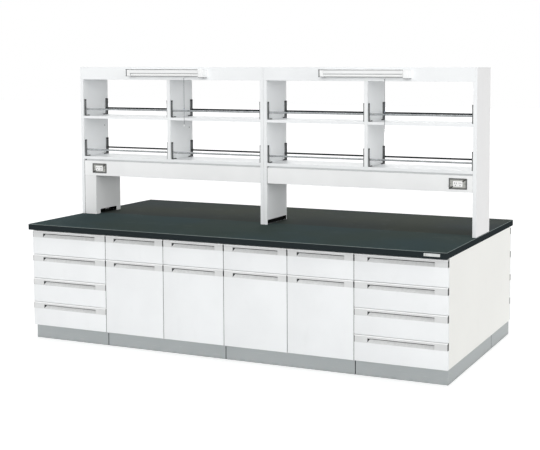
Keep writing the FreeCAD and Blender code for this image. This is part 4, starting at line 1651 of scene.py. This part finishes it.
    def slides(self, name: str, room0: float, room1: float, z0: float) -> Piece:
        """The grooved bars that carry the drawer in its runners, with their screws.

        Args:
            name: The piece's name.
            room0: The start of the drawer's room along X.
            room1: The end of that room.
            z0: The front's lower edge.

        Returns:
            The dressed piece.
        """
        middle = z0 + self.box_low + self.runner_rise
        start, stop = self.back + self.bar_setback, self.box_stop - self.bar_setback
        pieces = []
        for x, side in ((room0 + self.runner_space, -1), (room1 - self.runner_space, 1)):
            bar = self.shop.block("bar", (x, start, middle - self.bar_half),
                                  (x + side * self.bar_thickness, stop, middle + self.bar_half))
            self.shop.sink(bar, facing(Axis.X, side), self.bar_half / 2,
                           (-side * self.bar_groove, 0.0, 0.0))
            pieces.append(self.shop.soften(bar, self.arris))
        return self.dress(self.shop.join(name, pieces), Look.RUNNER)

    def pins(self, name: str, x0: float, x1: float, hinge: Hinge) -> Piece:
        """The pivot pins at the top and bottom of a door's hinged side.

        Args:
            name: The piece's name.
            x0: Its start along X.
            x1: Its end along X.
            hinge: Its hinged side.

        Returns:
            The dressed piece.
        """
        x = x0 + self.pin_inset if hinge is Hinge.LEFT else x1 - self.pin_inset
        y = self.face + self.pin_depth
        upward = ((0.0, self.pin_radius), (self.pin_length - self.pin_tip, self.pin_radius),
                  (self.pin_length, self.pin_radius - self.pin_tip))
        upper = self.shop.turned("upper_pin", (x, y, self.door_high), upward)
        lower = self.shop.turned("lower_pin", (x, y, self.door_low), scaled(upward, -1.0, 1.0))
        return self.dress(self.shop.join(name, [upper, lower]), Look.RUNNER)


# ---- rack

@dataclass
class Rack(SubAssembly):
    """The reagent rack's boards: panels, dividers, shelves and canopy of its two modules."""

    thickness: float = 0.025
    module_gap: float = 0.001
    end_foot: float = 0.050
    centre_foot: float = 0.008
    notch_height: float = 0.031
    fascia_thickness: float = 0.018
    arris: float = 0.0009
    upper_shelf_thickness: float = 0.019
    cap_radius: float = 0.0045
    cap_depth: float = 0.0009
    cap_profile: Profile = ((0.0, 1.0), (0.5, 1.0), (1.0, 0.8), (1.0, 0.45), (0.4, 0.35))
    cap_y: float = 0.105
    cap_drop: float = 0.062

    def __post_init__(self) -> None:
        """Reads the rack's main places."""
        self.low, self.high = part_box("rack_end_panels")
        self.fascia_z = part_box("rack_canopy")[0].z
        self.shelf_low, self.shelf_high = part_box("rack_shelf_boards")
        self.divider_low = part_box("rack_dividers")[0].z
        self.inner_end = -self.low.x - self.thickness
        self.inner_start = self.module_gap / 2 + self.thickness
        self.middle = (self.inner_end + self.inner_start) / 2
        self.upper_shelf_low = self.shelf_high.z - self.upper_shelf_thickness

    def build(self) -> None:
        """The left module's boards and their turned copies in the right module."""
        centre = -self.module_gap / 2
        outer_bay, inner_bay = self.bays()
        pairs = (
            ("rack_end_panels", self.upright("rack_end_left", self.low.x, 1, self.end_foot)),
            ("rack_centre_panels", self.upright("rack_centre_left", centre, -1, self.centre_foot)),
            ("rack_dividers", self.divider()),
            ("rack_canopy", self.canopy()),
            ("rack_shelf_boards", self.lower_shelf()),
            ("rack_shelf_boards", self.upper_shelf("rack_upper_shelf_outer_left", *outer_bay)),
            ("rack_shelf_boards", self.upper_shelf("rack_upper_shelf_inner_left", *inner_bay)),
        )
        for node, left in pairs:
            self.pair(left, left.name.replace("_left", "_right"), Look.RACK, node)
        self.caps()

    def bays(self) -> list[Span]:
        """Start and end along X of the left module's two bays."""
        half = self.thickness / 2
        return [(-self.inner_end, -self.middle - half), (-self.middle + half, -self.inner_start)]

    def board(self, name: str, low: Place, high: Place) -> Piece:
        """A board with lightly rounded edges, dressed, its upward faces greyer as painted shade."""
        return self.dress(self.shop.soften(self.shop.block(name, low, high), self.arris), Look.RACK,
                          # Painted shade: every upward face is greyer.
                          (Look.DECK_SHADE, facing(Axis.Z, 1)))

    def upright(self, name: str, outer: float, inward: int, foot: float) -> Piece:
        """A panel leg: notched at its foot for cables, and rebated for the canopy.

        Args:
            name: The piece's name.
            outer: The place of its outer face.
            inward: 1 or -1, the direction of its inner face.
            foot: How far each foot reaches in from the leg's edge.

        Returns:
            The dressed piece.
        """
        over = self.shop.overcut
        middle, inner = outer + inward * self.thickness / 2, outer + inward * self.thickness
        notch_top, notch_y = self.low.z + self.notch_height, self.high.y - foot
        leg = self.shop.block(name, (outer, self.low.y, self.low.z), (inner, self.high.y, self.high.z))
        past = inner + inward * over
        self.shop.cut(leg, (middle, -notch_y, self.low.z - over), (past, notch_y, notch_top))
        self.shop.cut(leg, (middle, self.low.y - over, self.fascia_z),
                      (past, self.high.y + over, self.high.z + over))
        self.shop.soften(leg, self.arris)
        # Painted shade: the outer face is greyer than the rest of the leg.
        return self.dress(leg, Look.RACK, (Look.RACK_SIDE_SHADE, lying(Axis.X, outer)),
                          # Painted shade: the faces inside the cable notch are nearly black.
                          (Look.CAVITY, lambda place, normal: place.z < notch_top + TINY
                           and abs(place.y) < notch_y + TINY and (place.x - middle) * inward > -TINY
                           and (place.x - inner) * inward < -TINY))

    def divider(self) -> Piece:
        """The panel between a module's two bays."""
        half = self.thickness / 2
        return self.board("rack_divider_left", (-self.middle - half, self.low.y, self.divider_low),
                          (-self.middle + half, self.high.y, self.fascia_z))

    def canopy(self) -> Piece:
        """Front and rear fascia and the top board over them.

        Returns:
            The dressed piece.
        """
        over = self.shop.overcut
        x0, x1 = self.low.x + self.thickness / 2, -self.module_gap / 2 - self.thickness / 2
        inner = self.high.y - self.fascia_thickness
        canopy = self.shop.block("rack_canopy_left", (x0, self.low.y, self.fascia_z),
                                 (x1, self.high.y, self.high.z))
        self.shop.cut(canopy, (x0 - over, -inner, self.fascia_z - over),
                      (x1 + over, inner, self.high.z - self.fascia_thickness))
        return self.dress(self.shop.soften(canopy, self.arris), Look.RACK)

    def lower_shelf(self) -> Piece:
        """The shelf over the service duct."""
        return self.board(
            "rack_lower_shelf_left", (-self.inner_end, self.shelf_low.y, self.shelf_low.z),
            (-self.inner_start, self.shelf_high.y, self.divider_low))

    def upper_shelf(self, name: str, x0: float, x1: float) -> Piece:
        """The upper shelf of one bay."""
        return self.board(name, (x0, self.shelf_low.y, self.upper_shelf_low),
                          (x1, self.shelf_high.y, self.shelf_high.z))

    def caps(self) -> None:
        """The small fixing on the inner face of the left end panel and of the left divider."""
        z = self.upper_shelf_low - self.cap_drop
        for number, x in enumerate((-self.inner_end, -self.middle + self.thickness / 2), start=1):
            cap = self.shop.turned(f"rack_fixing_{number}", (x, self.cap_y, z),
                                   scaled(self.cap_profile, self.cap_depth, self.cap_radius), Axis.X)
            self.seat(self.dress(cap, Look.SCREW), "bench", Look.SCREW, "rack_dividers")


@dataclass
class Duct(SubAssembly):
    """The service duct under the lower shelf, its spacer rails, and the riser on the left leg."""

    start: float = 0.0255
    sheet: float = 0.002
    arris: float = 0.0012
    joint: float = 0.003
    spacer_shade_length: float = 0.009
    spacer_height: float = 0.011
    spacer_setback: float = 0.015
    spacer_width: float = 0.020
    foot_half: float = 0.100
    foot_height: float = 0.031
    riser_arris: float = 0.0008

    def build(self) -> None:
        """Both ducts and the riser."""
        low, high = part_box("service_duct")
        duct_x1 = -self.start
        duct_top = high.z - self.spacer_height
        over = self.shop.overcut
        duct = self.shop.block("duct", low, (duct_x1, high.y, duct_top))
        self.shop.cut(duct, (low.x - over, low.y + self.sheet, low.z + self.sheet),
                      (duct_x1 + over, high.y - self.sheet, duct_top - self.sheet))
        pieces = [self.shop.soften(duct, self.arris)]
        for side in (-1, 1):
            y0 = side * (high.y - self.spacer_setback)
            rail = self.shop.block("spacer", (low.x, y0, duct_top),
                                   (duct_x1, y0 - side * self.spacer_width, high.z))
            pieces.append(self.shop.soften(rail, self.arris))
        left = self.shop.join("service_duct_left", pieces)
        self.shop.divide(left, (low.x + self.joint, low.y, low.z), (1, 0, 0))
        joint_x, corner_shade_x = low.x + self.joint + TINY, low.x + self.spacer_shade_length
        spacer_z = duct_top + TINY
        # Painted shade: the spacer rails, set back under the shelf, are greyer than the duct.
        self.dress(left, Look.DUCT, (Look.SPACER_SHADE, lambda place, normal: place.z > spacer_z),
                   # Painted shade: a dark band at the duct's end against the leg.
                   (Look.JOINT_SHADE, lambda place, normal: place.x < joint_x))
        right = self.shop.copy(left, "service_duct_right", (self.start - low.x, 0, 0))
        # Painted shade where the spacer rails meet the leg.
        self.shop.divide(left, (corner_shade_x, low.y, low.z), (1, 0, 0))
        self.shop.inlay(left, Look.JOINT_SHADE, lambda place, normal: place.x < corner_shade_x and place.z > spacer_z)
        for piece in (left, right):
            self.seat(piece, "bench", Look.DUCT, "service_duct")
        self.seat(self.riser(), "bench", Look.RISER_SHADED, "riser_duct")

    def riser(self) -> Piece:
        """The folded cover beside the left leg, with a cable gap at its foot.

        Returns:
            The dressed piece.
        """
        low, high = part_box("riser_duct")
        over = self.shop.overcut
        foot_top = low.z + self.foot_height
        riser = self.shop.block("riser_duct_cover", low, high)
        self.shop.cut(riser, (low.x - over, low.y + self.sheet, low.z - over),
                      (high.x - self.sheet, high.y - self.sheet, high.z + over))
        self.shop.cut(riser, (high.x - self.sheet - over, -self.foot_half, low.z - over),
                      (high.x + over, self.foot_half, foot_top))
        self.shop.divide(riser, (low.x + self.joint, low.y, low.z), (1, 0, 0))
        self.shop.soften(riser, self.riser_arris)
        inner_x, inner_y = high.x - self.sheet + TINY, high.y - self.sheet + TINY
        joint_x = low.x + self.joint + TINY
        # The riser wears a greyer copy of the duct's paint: painted shade.
        return self.dress(
            riser, Look.RISER_SHADED,
            # Painted shade: the inside faces are nearly black.
            (Look.CAVITY, lambda place, normal: low.x + TINY < place.x < inner_x and abs(place.y) < inner_y),
            # Painted shade: a dark band along its end against the leg.
            (Look.JOINT_SHADE, lambda place, normal: place.x < joint_x))


@dataclass
class GuardRails(SubAssembly):
    """Rods on L-shaped posts along the shelves."""

    rack: Rack
    rod_radius: float = 0.006
    rod_above_shelf: float = 0.048
    rod_y: float = -0.130
    post_width: float = 0.010
    post_depth: float = 0.022
    post_outer: float = -0.1395
    web: float = 0.0025
    flange: float = 0.003
    post_height: float = 0.120
    foot_length: float = 0.052
    foot_thickness: float = 0.005
    foot_corner: float = 0.003
    foot_edge: float = 0.002
    collar_radius: float = 0.0085
    collar_length: float = 0.005
    collar_slope: float = 0.001
    cap_height: float = 0.010
    arris: float = 0.0005
    screw_place: float = 0.7
    screw_profile: Profile = ((0.0, 0.0034), (0.0008, 0.0034), (0.0018, 0.0024), (0.0018, 0.0014),
                              (0.0006, 0.0012))

    def build(self) -> None:
        """One rail for the left module's first bay, copied to every bay, shelf and side."""
        shelf_tops = {"lower": self.rack.divider_low, "upper": self.rack.shelf_high.z}
        bays = self.rack.bays()
        places = bays + [(-x1, -x0) for x0, x1 in reversed(bays)]
        origin = Vector((places[0][0], 0.0, shelf_tops["lower"]))
        master = None
        for shelf, z in shelf_tops.items():
            for number, (x0, x1) in enumerate(places, start=1):
                name = f"guard_rail_{shelf}_{number}_front"
                if master is None:
                    master = rail = self.rail(name, x0, x1, z)
                else:
                    rail = self.shop.copy(master, name, Vector((x0, 0.0, z)) - origin)
                opposite = f"guard_rail_{shelf}_{len(places) + 1 - number}_rear"
                turned = self.shop.copy(rail, opposite, half_turn=True)
                # The rear copies get the near-black chrome: painted shade.
                turned.data.materials[0] = finish(Look.RAIL_SHADED)
                for piece in (rail, turned):
                    self.seat(piece, "bench", Look.RAIL, "guard_rods", "guard_posts")

    def rail(self, name: str, x0: float, x1: float, z: float) -> Piece:
        """A rod, collared where it meets its two posts.

        Args:
            name: The piece's name.
            x0: Its start along X.
            x1: Its end along X.
            z: The shelf's top.

        Returns:
            The dressed piece.
        """
        start, length = x0 + self.web, x1 - x0 - 2 * self.web
        collar, thick, thin = self.collar_length, self.collar_radius, self.rod_radius
        slope = collar + self.collar_slope
        rod = self.shop.turned("rod", (start, self.rod_y, z + self.rod_above_shelf), (
            (0.0, thick), (collar, thick), (slope, thin), (length - slope, thin),
            (length - collar, thick), (length, thick)), Axis.X)
        posts = self.post(x0, 1, z) + self.post(x1, -1, z)
        cap_z = z + self.post_height - self.cap_height
        foot_z = z + self.foot_thickness + self.foot_edge
        open0, open1 = x0 + self.post_width + TINY, x1 - self.post_width - TINY
        return self.dress(
            self.shop.join(name, [rod] + posts), Look.RAIL,
            # Posts painted darker than the rods as painted shade, and lighter on their X-facing sides as
            # painted light.
            (Look.POST, lambda place, normal: not open0 < place.x < open1),
            (Look.POST_SIDE_LIT, lambda place, normal: not open0 < place.x < open1 and abs(normal.x) > 0.7),
            (Look.RAIL_CAP, lambda place, normal: place.z > cap_z - TINY or place.z < foot_z))

    def post(self, x: float, inward: int, z: float) -> list[Piece]:
        """An angle post whose web lies on the panel at x, capped, and its foot plate with a screw.

        Args:
            x: The face of the panel that it stands at.
            inward: 1 or -1, the direction of its inner face.
            z: The shelf's top.

        Returns:
            Post, foot and screw.
        """
        outer = self.post_outer
        web, far = x + inward * self.web, x + inward * self.post_width
        inner, top = outer + self.flange, z + self.post_height
        upright = self.shop.block("upright", (x, outer, z), (web, outer + self.post_depth, top))
        self.shop.divide(upright, (x, inner, z), (0, 1, 0))
        self.shop.draw_out(upright, lambda middle, normal: normal.x * inward > SQUARE and middle.y < inner,
                           (far - web, 0.0, 0.0))
        self.shop.divide(upright, (x, inner, top - self.cap_height), (0, 0, 1))
        foot_top = z + self.foot_thickness
        foot = self.shop.block("foot", (web, inner, z), (far, inner + self.foot_length, foot_top))
        self.shop.round_edges(foot, lambda middle, run: abs(run.z) > TINY and middle.y > inner + TINY,
                              self.foot_corner)
        screw_y = inner + self.screw_place * self.foot_length
        screw = self.shop.turned("screw", ((web + far) / 2, screw_y, foot_top), self.screw_profile, sides=16)
        return [self.shop.soften(upright, self.arris), self.shop.soften(foot, self.arris), screw]


# ---- outlets

@dataclass
class Outlets(SubAssembly):
    """Metal plates with double socket inserts, on both faces of the duct."""

    centres: Span = (-1.339, 1.376)
    plate_width: float = 0.120
    plate_height: float = 0.070
    plate_thickness: float = 0.003
    plate_corner: float = 0.004
    frame_width: float = 0.009
    frame_depth: float = 0.0012
    plate_arris: float = 0.0005
    insert_width: float = 0.062
    insert_height: float = 0.036
    insert_thickness: float = 0.004
    insert_corner: float = 0.003
    insert_arris: float = 0.0004
    insert_border: float = 0.004
    groove_width: float = 0.0012
    groove_depth: float = 0.0012
    pitch: float = 0.031
    slot_width: float = 0.0030
    slot_height: float = 0.009
    slot_pitch: float = 0.012
    slot_depth: float = 0.003
    earth_radius: float = 0.0030
    earth_drop: float = 0.010
    screw_inset: float = 0.014
    screw_profile: Profile = ((0.0, 0.0030), (-0.0006, 0.0028), (-0.0010, 0.0020), (-0.0010, 0.0012),
                              (-0.0002, 0.0010))

    def build(self) -> None:
        """The front outlets and their turned copies."""
        self.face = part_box("service_duct")[0].y
        plate_low, plate_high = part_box("outlet_plates")
        self.z = (plate_low.z + plate_high.z) / 2
        first = self.centres[0]
        masters = (("plate", Look.OUTLET, "outlet_plates", self.plate(first)),
                   ("insert", Look.SOCKET, "outlet_sockets", self.insert(first)))
        for part, look, node, master in masters:
            for number, x in enumerate(self.centres, start=1):
                made = master
                if number > 1:
                    made = self.shop.copy(master, f"outlet_{part}_front_{number}", (x - first, 0.0, 0.0))
                self.pair(made, f"outlet_{part}_rear_{number}", look, node)

    def plate(self, x: float) -> Piece:
        """A rimmed plate with its two screws.

        Args:
            x: Its middle along X.

        Returns:
            The dressed piece.
        """
        y0 = self.face - self.plate_thickness
        half_x, half_z = self.plate_width / 2, self.plate_height / 2
        plate = self.shop.block("outlet_plate_front_1", (x - half_x, y0, self.z - half_z),
                                (x + half_x, self.face, self.z + half_z))
        self.shop.round_edges(plate, running(Axis.Y), self.plate_corner)
        self.shop.sink(plate, facing(Axis.Y, -1), self.frame_width, (0.0, self.frame_depth, 0.0))
        self.shop.soften(plate, self.plate_arris)
        field_y = y0 + self.frame_depth
        pieces = [plate]
        for side in (-1, 1):
            place = (x + side * (half_x - self.screw_inset), field_y, self.z)
            pieces.append(self.shop.turned("screw", place, self.screw_profile, Axis.Y, 16))
        rim_y, border = (y0 + field_y) / 2, self.frame_width + TINY
        return self.dress(self.shop.join(plate.name, pieces), Look.OUTLET,
                          (Look.OUTLET_RIM, lambda place, normal: place.y < rim_y
                           or abs(normal.y) < 0.3 and (abs(place.x - x) > half_x - border
                                                       or abs(place.z - self.z) > half_z - border)))

    def insert(self, x: float) -> Piece:
        """The double socket: two faces parted by a groove, each with two slots and an earth hole.

        Args:
            x: Its middle along X.

        Returns:
            The dressed piece.
        """
        over = self.shop.overcut
        y1 = self.face - self.plate_thickness
        y0 = y1 - self.insert_thickness
        half_x, half_z = self.insert_width / 2, self.insert_height / 2
        insert = self.shop.block("outlet_insert_front_1", (x - half_x, y0, self.z - half_z),
                                 (x + half_x, y1, self.z + half_z))
        self.shop.round_edges(insert, running(Axis.Y), self.insert_corner)
        self.shop.divide(insert, (x, y0, self.z), (1, 0, 0))
        groove, groove_y = self.groove_width / 2, y0 + self.groove_depth
        self.shop.cut(insert, (x - groove, y0 - over, self.z - half_z - over),
                      (x + groove, groove_y, self.z + half_z + over))
        bottom = y0 + self.slot_depth
        for middle in (x - self.pitch / 2, x + self.pitch / 2):
            for side in (-1, 1):
                slot = middle + side * self.slot_pitch / 2
                self.shop.cut(insert, (slot - self.slot_width / 2, y0 - over, self.z),
                              (slot + self.slot_width / 2, bottom, self.z + self.slot_height))
            self.shop.subtract(insert, self.shop.turned(
                "cutter", (middle, y0 - over, self.z - self.earth_drop),
                ((0.0, self.earth_radius), (over + self.slot_depth, self.earth_radius)), Axis.Y, 16))
        self.shop.soften(insert, self.insert_arris)
        inner_x, inner_z = half_x - self.insert_border, half_z - self.insert_border
        return self.dress(insert, Look.SOCKET,
                          # Painted shade: the faces inside the slots, earth holes and groove are nearly
                          # black.
                          (Look.SOCKET_HOLE, lambda place, normal: groove_y + TINY < place.y < y1 - TINY
                           and abs(place.x - x) < inner_x and abs(place.z - self.z) < inner_z))


# ---- lamps

@dataclass
class Lamps(SubAssembly):
    """Two lamps on the front fascia: housing, tube behind its cover, end caps and switch boss."""

    pulls: PullSwitches
    face: float = -0.150
    length: float = 0.628
    depth: float = 0.065
    cap_length: float = 0.038
    cap_setback: float = 0.002
    cap_arris: float = 0.0006
    corner: float = 0.004
    arris: float = 0.0004
    tube_y: float = -0.188
    ferrule: float = 0.006
    ferrule_edge: float = 0.0005
    ferrule_share: float = 0.97
    # Groove under the housing's top edge, painted dark inside as painted shade.
    seam_drop: float = 0.0015
    seam_height: float = 0.0035
    seam_depth: float = 0.006
    # Painted shade lines: a strip near the outer cap's end (the next two), the grey skirt of each cap, the
    # tube's underside (skirt_turn) and the outer cap's top front edge (brow).
    shade_line_setback: float = 0.005
    shade_line_width: float = 0.0070
    skirt: float = 0.003
    skirt_turn: float = -0.83
    brow: float = 0.0045
    lip_drop: float = 0.006
    lip_thickness: float = 0.0025
    # Height of the painted shade line along the lip's lower edge.
    lip_line: float = 0.0025
    outer_cap_rise: float = 0.008
    boss_radius: float = 0.007
    boss_height: float = 0.034
    boss_profile: Profile = ((0.0, 0.86), (0.001, 0.96), (0.002, 1.0), (0.012, 1.0), (0.0125, 0.94),
                             (0.0135, 0.94), (0.014, 1.0))
    bore_radius: float = 0.0029
    bore_depth: float = 0.022

    def build(self) -> None:
        """The left lamp, and its copy in front of the right module."""
        self.low, self.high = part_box("lamp_housings")
        self.cap_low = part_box("lamp_end_caps")[0].z
        middle = -self.pulls.lamp_middle
        masters = (
            ("housing", Look.LAMP, "lamp_housings", self.housing(middle)),
            ("tube", Look.DIFFUSER, "lamp_tubes", self.tube(middle)),
            ("outer_cap", Look.LAMP_CAP, "lamp_end_caps", self.cap("lamp_outer_cap_left", middle, -1)),
            ("inner_cap", Look.LAMP_CAP, "lamp_end_caps", self.cap("lamp_inner_cap_left", middle, 1)),
            ("switch", Look.LAMP_CAP, "lamp_end_caps", self.boss(middle)),
        )
        for part, look, node, left in masters:
            self.pair(left, f"lamp_{part}_right", look, node, (-2 * middle, 0.0, 0.0))

    def housing(self, middle: float) -> Piece:
        """The folded housing, with a groove under its top edge painted dark as painted shade, and a lip over
        the tube whose lower edge is painted grey as painted shade.

        Args:
            middle: The lamp's middle along X.

        Returns:
            The dressed piece.
        """
        half = self.length / 2 - self.cap_length
        front, low, high = self.face - self.depth, self.low.z, self.high.z
        over, lip_y = self.shop.overcut, front + self.lip_thickness
        housing = self.shop.block("lamp_housing_left", (middle - half, front, low),
                                  (middle + half, self.face, high))
        self.shop.round_edges(housing, lambda place, run: at(place.y, front) and at(place.z, high),
                              self.corner)
        self.shop.divide(housing, (middle, lip_y, low), (0, 1, 0))
        self.shop.draw_out(housing, lambda place, normal: normal.z < -SQUARE and place.y < lip_y,
                           (0.0, 0.0, -self.lip_drop))
        line_z = low - self.lip_drop + self.lip_line
        self.shop.divide(housing, (middle, front, line_z), (0, 0, 1))
        seam_top, seam_y = high - self.seam_drop, front + self.seam_depth
        seam_low = seam_top - self.seam_height
        self.shop.cut(housing, (middle - half - over, front - over, seam_low),
                      (middle + half + over, seam_y, seam_top))
        self.shop.soften(housing, self.arris)
        return self.dress(housing, Look.LAMP,
                          # Painted shade inside the groove.
                          (Look.LAMP_SEAL, lambda place, normal: within(place.z, seam_low, seam_top)
                           and front + TINY < place.y < seam_y + TINY),
                          # Painted shade along the lip's lower edge.
                          (Look.LAMP_UNDER, below(line_z)))

    def tube(self, middle: float) -> Piece:
        """The ribbed opal tube between its end caps, with a painted shade strip along its underside.

        Args:
            middle: The lamp's middle along X.

        Returns:
            The dressed piece.
        """
        low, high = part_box("lamp_tubes")
        radius = (high.z - low.z) / 2
        length = self.length - 2 * self.cap_length
        end, stop, thin = self.ferrule, self.ferrule + self.ferrule_edge, self.ferrule_share * radius
        tube = self.shop.turned("lamp_tube_left", (middle - length / 2, self.tube_y, low.z + radius), (
            (0.0, thin), (end, thin), (stop, radius), (length - stop, radius), (length - end, thin),
            (length, thin)), Axis.X, 48)
        return self.dress(tube, Look.DIFFUSER,
                          # Painted shade along the tube's underside.
                          (Look.LAMP_SEAL, lambda place, normal: normal.z < self.skirt_turn))

    def cap(self, name: str, middle: float, side: int) -> Piece:
        """An end cap, grey below its skirt line as painted shade; the outer cap also has painted shade lines
        near its outer end and along its top front edge.

        Args:
            name: The piece's name.
            middle: The lamp's middle along X.
            side: -1 for the outer cap, 1 for the inner.

        Returns:
            The dressed piece.
        """
        inner, outer = middle + side * (self.length / 2 - self.cap_length), middle + side * self.length / 2
        front = self.face - self.depth + self.cap_setback
        bottom = self.cap_low + (self.outer_cap_rise if side < 0 else 0.0)
        cap = self.shop.block(name, (inner, front, bottom), (outer, self.face, self.high.z))
        self.shop.round_edges(cap, lying(Axis.Y, front), self.corner)
        self.shop.soften(cap, self.cap_arris)
        skirt_z = bottom + self.skirt
        self.shop.divide(cap, (outer, front, skirt_z), (0, 0, 1))
        if side > 0:
            # Painted shade below the skirt line.
            return self.dress(cap, Look.LAMP_CAP, (Look.LAMP_UNDER, below(skirt_z)))
        brow_z = self.high.z - self.brow
        self.shop.divide(cap, (outer, front, brow_z), (0, 0, 1))
        shade_line0 = outer + self.shade_line_setback
        shade_line1 = shade_line0 + self.shade_line_width
        for x in (shade_line0, shade_line1, inner - self.shade_line_width):
            self.shop.divide(cap, (x, front, bottom), (1, 0, 0))
        return self.dress(cap, Look.LAMP_CAP, (Look.LAMP_UNDER, below(skirt_z)),
                          # Painted shade lines near the outer end and along the top front edge.
                          (Look.LAMP_SEAL, lambda place, normal: within(place.x, shade_line0, shade_line1)
                           or brow_z - TINY < place.z and normal.z < SQUARE and normal.y < -0.3))

    def boss(self, middle: float) -> Piece:
        """The switch's round boss with the bore that its stem slides in.

        Args:
            middle: The lamp's middle along X.

        Returns:
            The dressed piece.
        """
        x, y, z = middle + self.pulls.switch_offset, self.pulls.exit_y, self.low.z - self.boss_height
        stations = scaled(self.boss_profile + ((self.boss_height, 1.0),), 1.0, self.boss_radius)
        boss = self.shop.turned("lamp_switch_left", (x, y, z), stations, sides=32)
        over = self.shop.overcut
        bore = self.shop.turned("cutter", (x, y, z - over), (
            (0.0, self.bore_radius), (over + self.bore_depth, self.bore_radius)), sides=32)
        return self.dress(self.shop.subtract(boss, bore), Look.LAMP_CAP)


# ---- hidden works

@dataclass
class HiddenWorks(SubAssembly):
    """The CAD nodes that keep their shape and get a finish: cabinets, shelves, feet, runners and hinges."""

    looks: dict[str, Look] = field(default_factory=lambda: {
        "carcass_drawer_units": Look.CARCASS,
        "carcass_door_units": Look.CARCASS,
        "cupboard_shelves": Look.CABINET,
        "levelling_feet": Look.FOOT,
        "drawer_runners": Look.RUNNER,
        "door_hinges": Look.RUNNER,
    })

    def build(self) -> None:
        """Gives each node its finish in every slot."""
        for node, look in self.looks.items():
            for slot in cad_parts[node].material_slots:
                slot.material = finish(look)
            log.info("%s keeps its shape and wears %s", node, look.value.label)


def main() -> None:
    """Builds the scene, the camera and the cords first."""
    logging.basicConfig(level=logging.INFO, format="%(message)s")
    shop = Workshop()
    Studio(shop).build()
    pulls, rack = PullSwitches(shop), Rack(shop)
    for part in (pulls, Top(shop), Ends(shop), Plinth(shop), Fronts(shop), rack, Duct(shop),
                 GuardRails(shop, rack), Outlets(shop), Lamps(shop, pulls), HiddenWorks(shop)):
        log.info("-- %s", type(part).__name__)
        part.build()


if __name__ == "__main__":
    main()
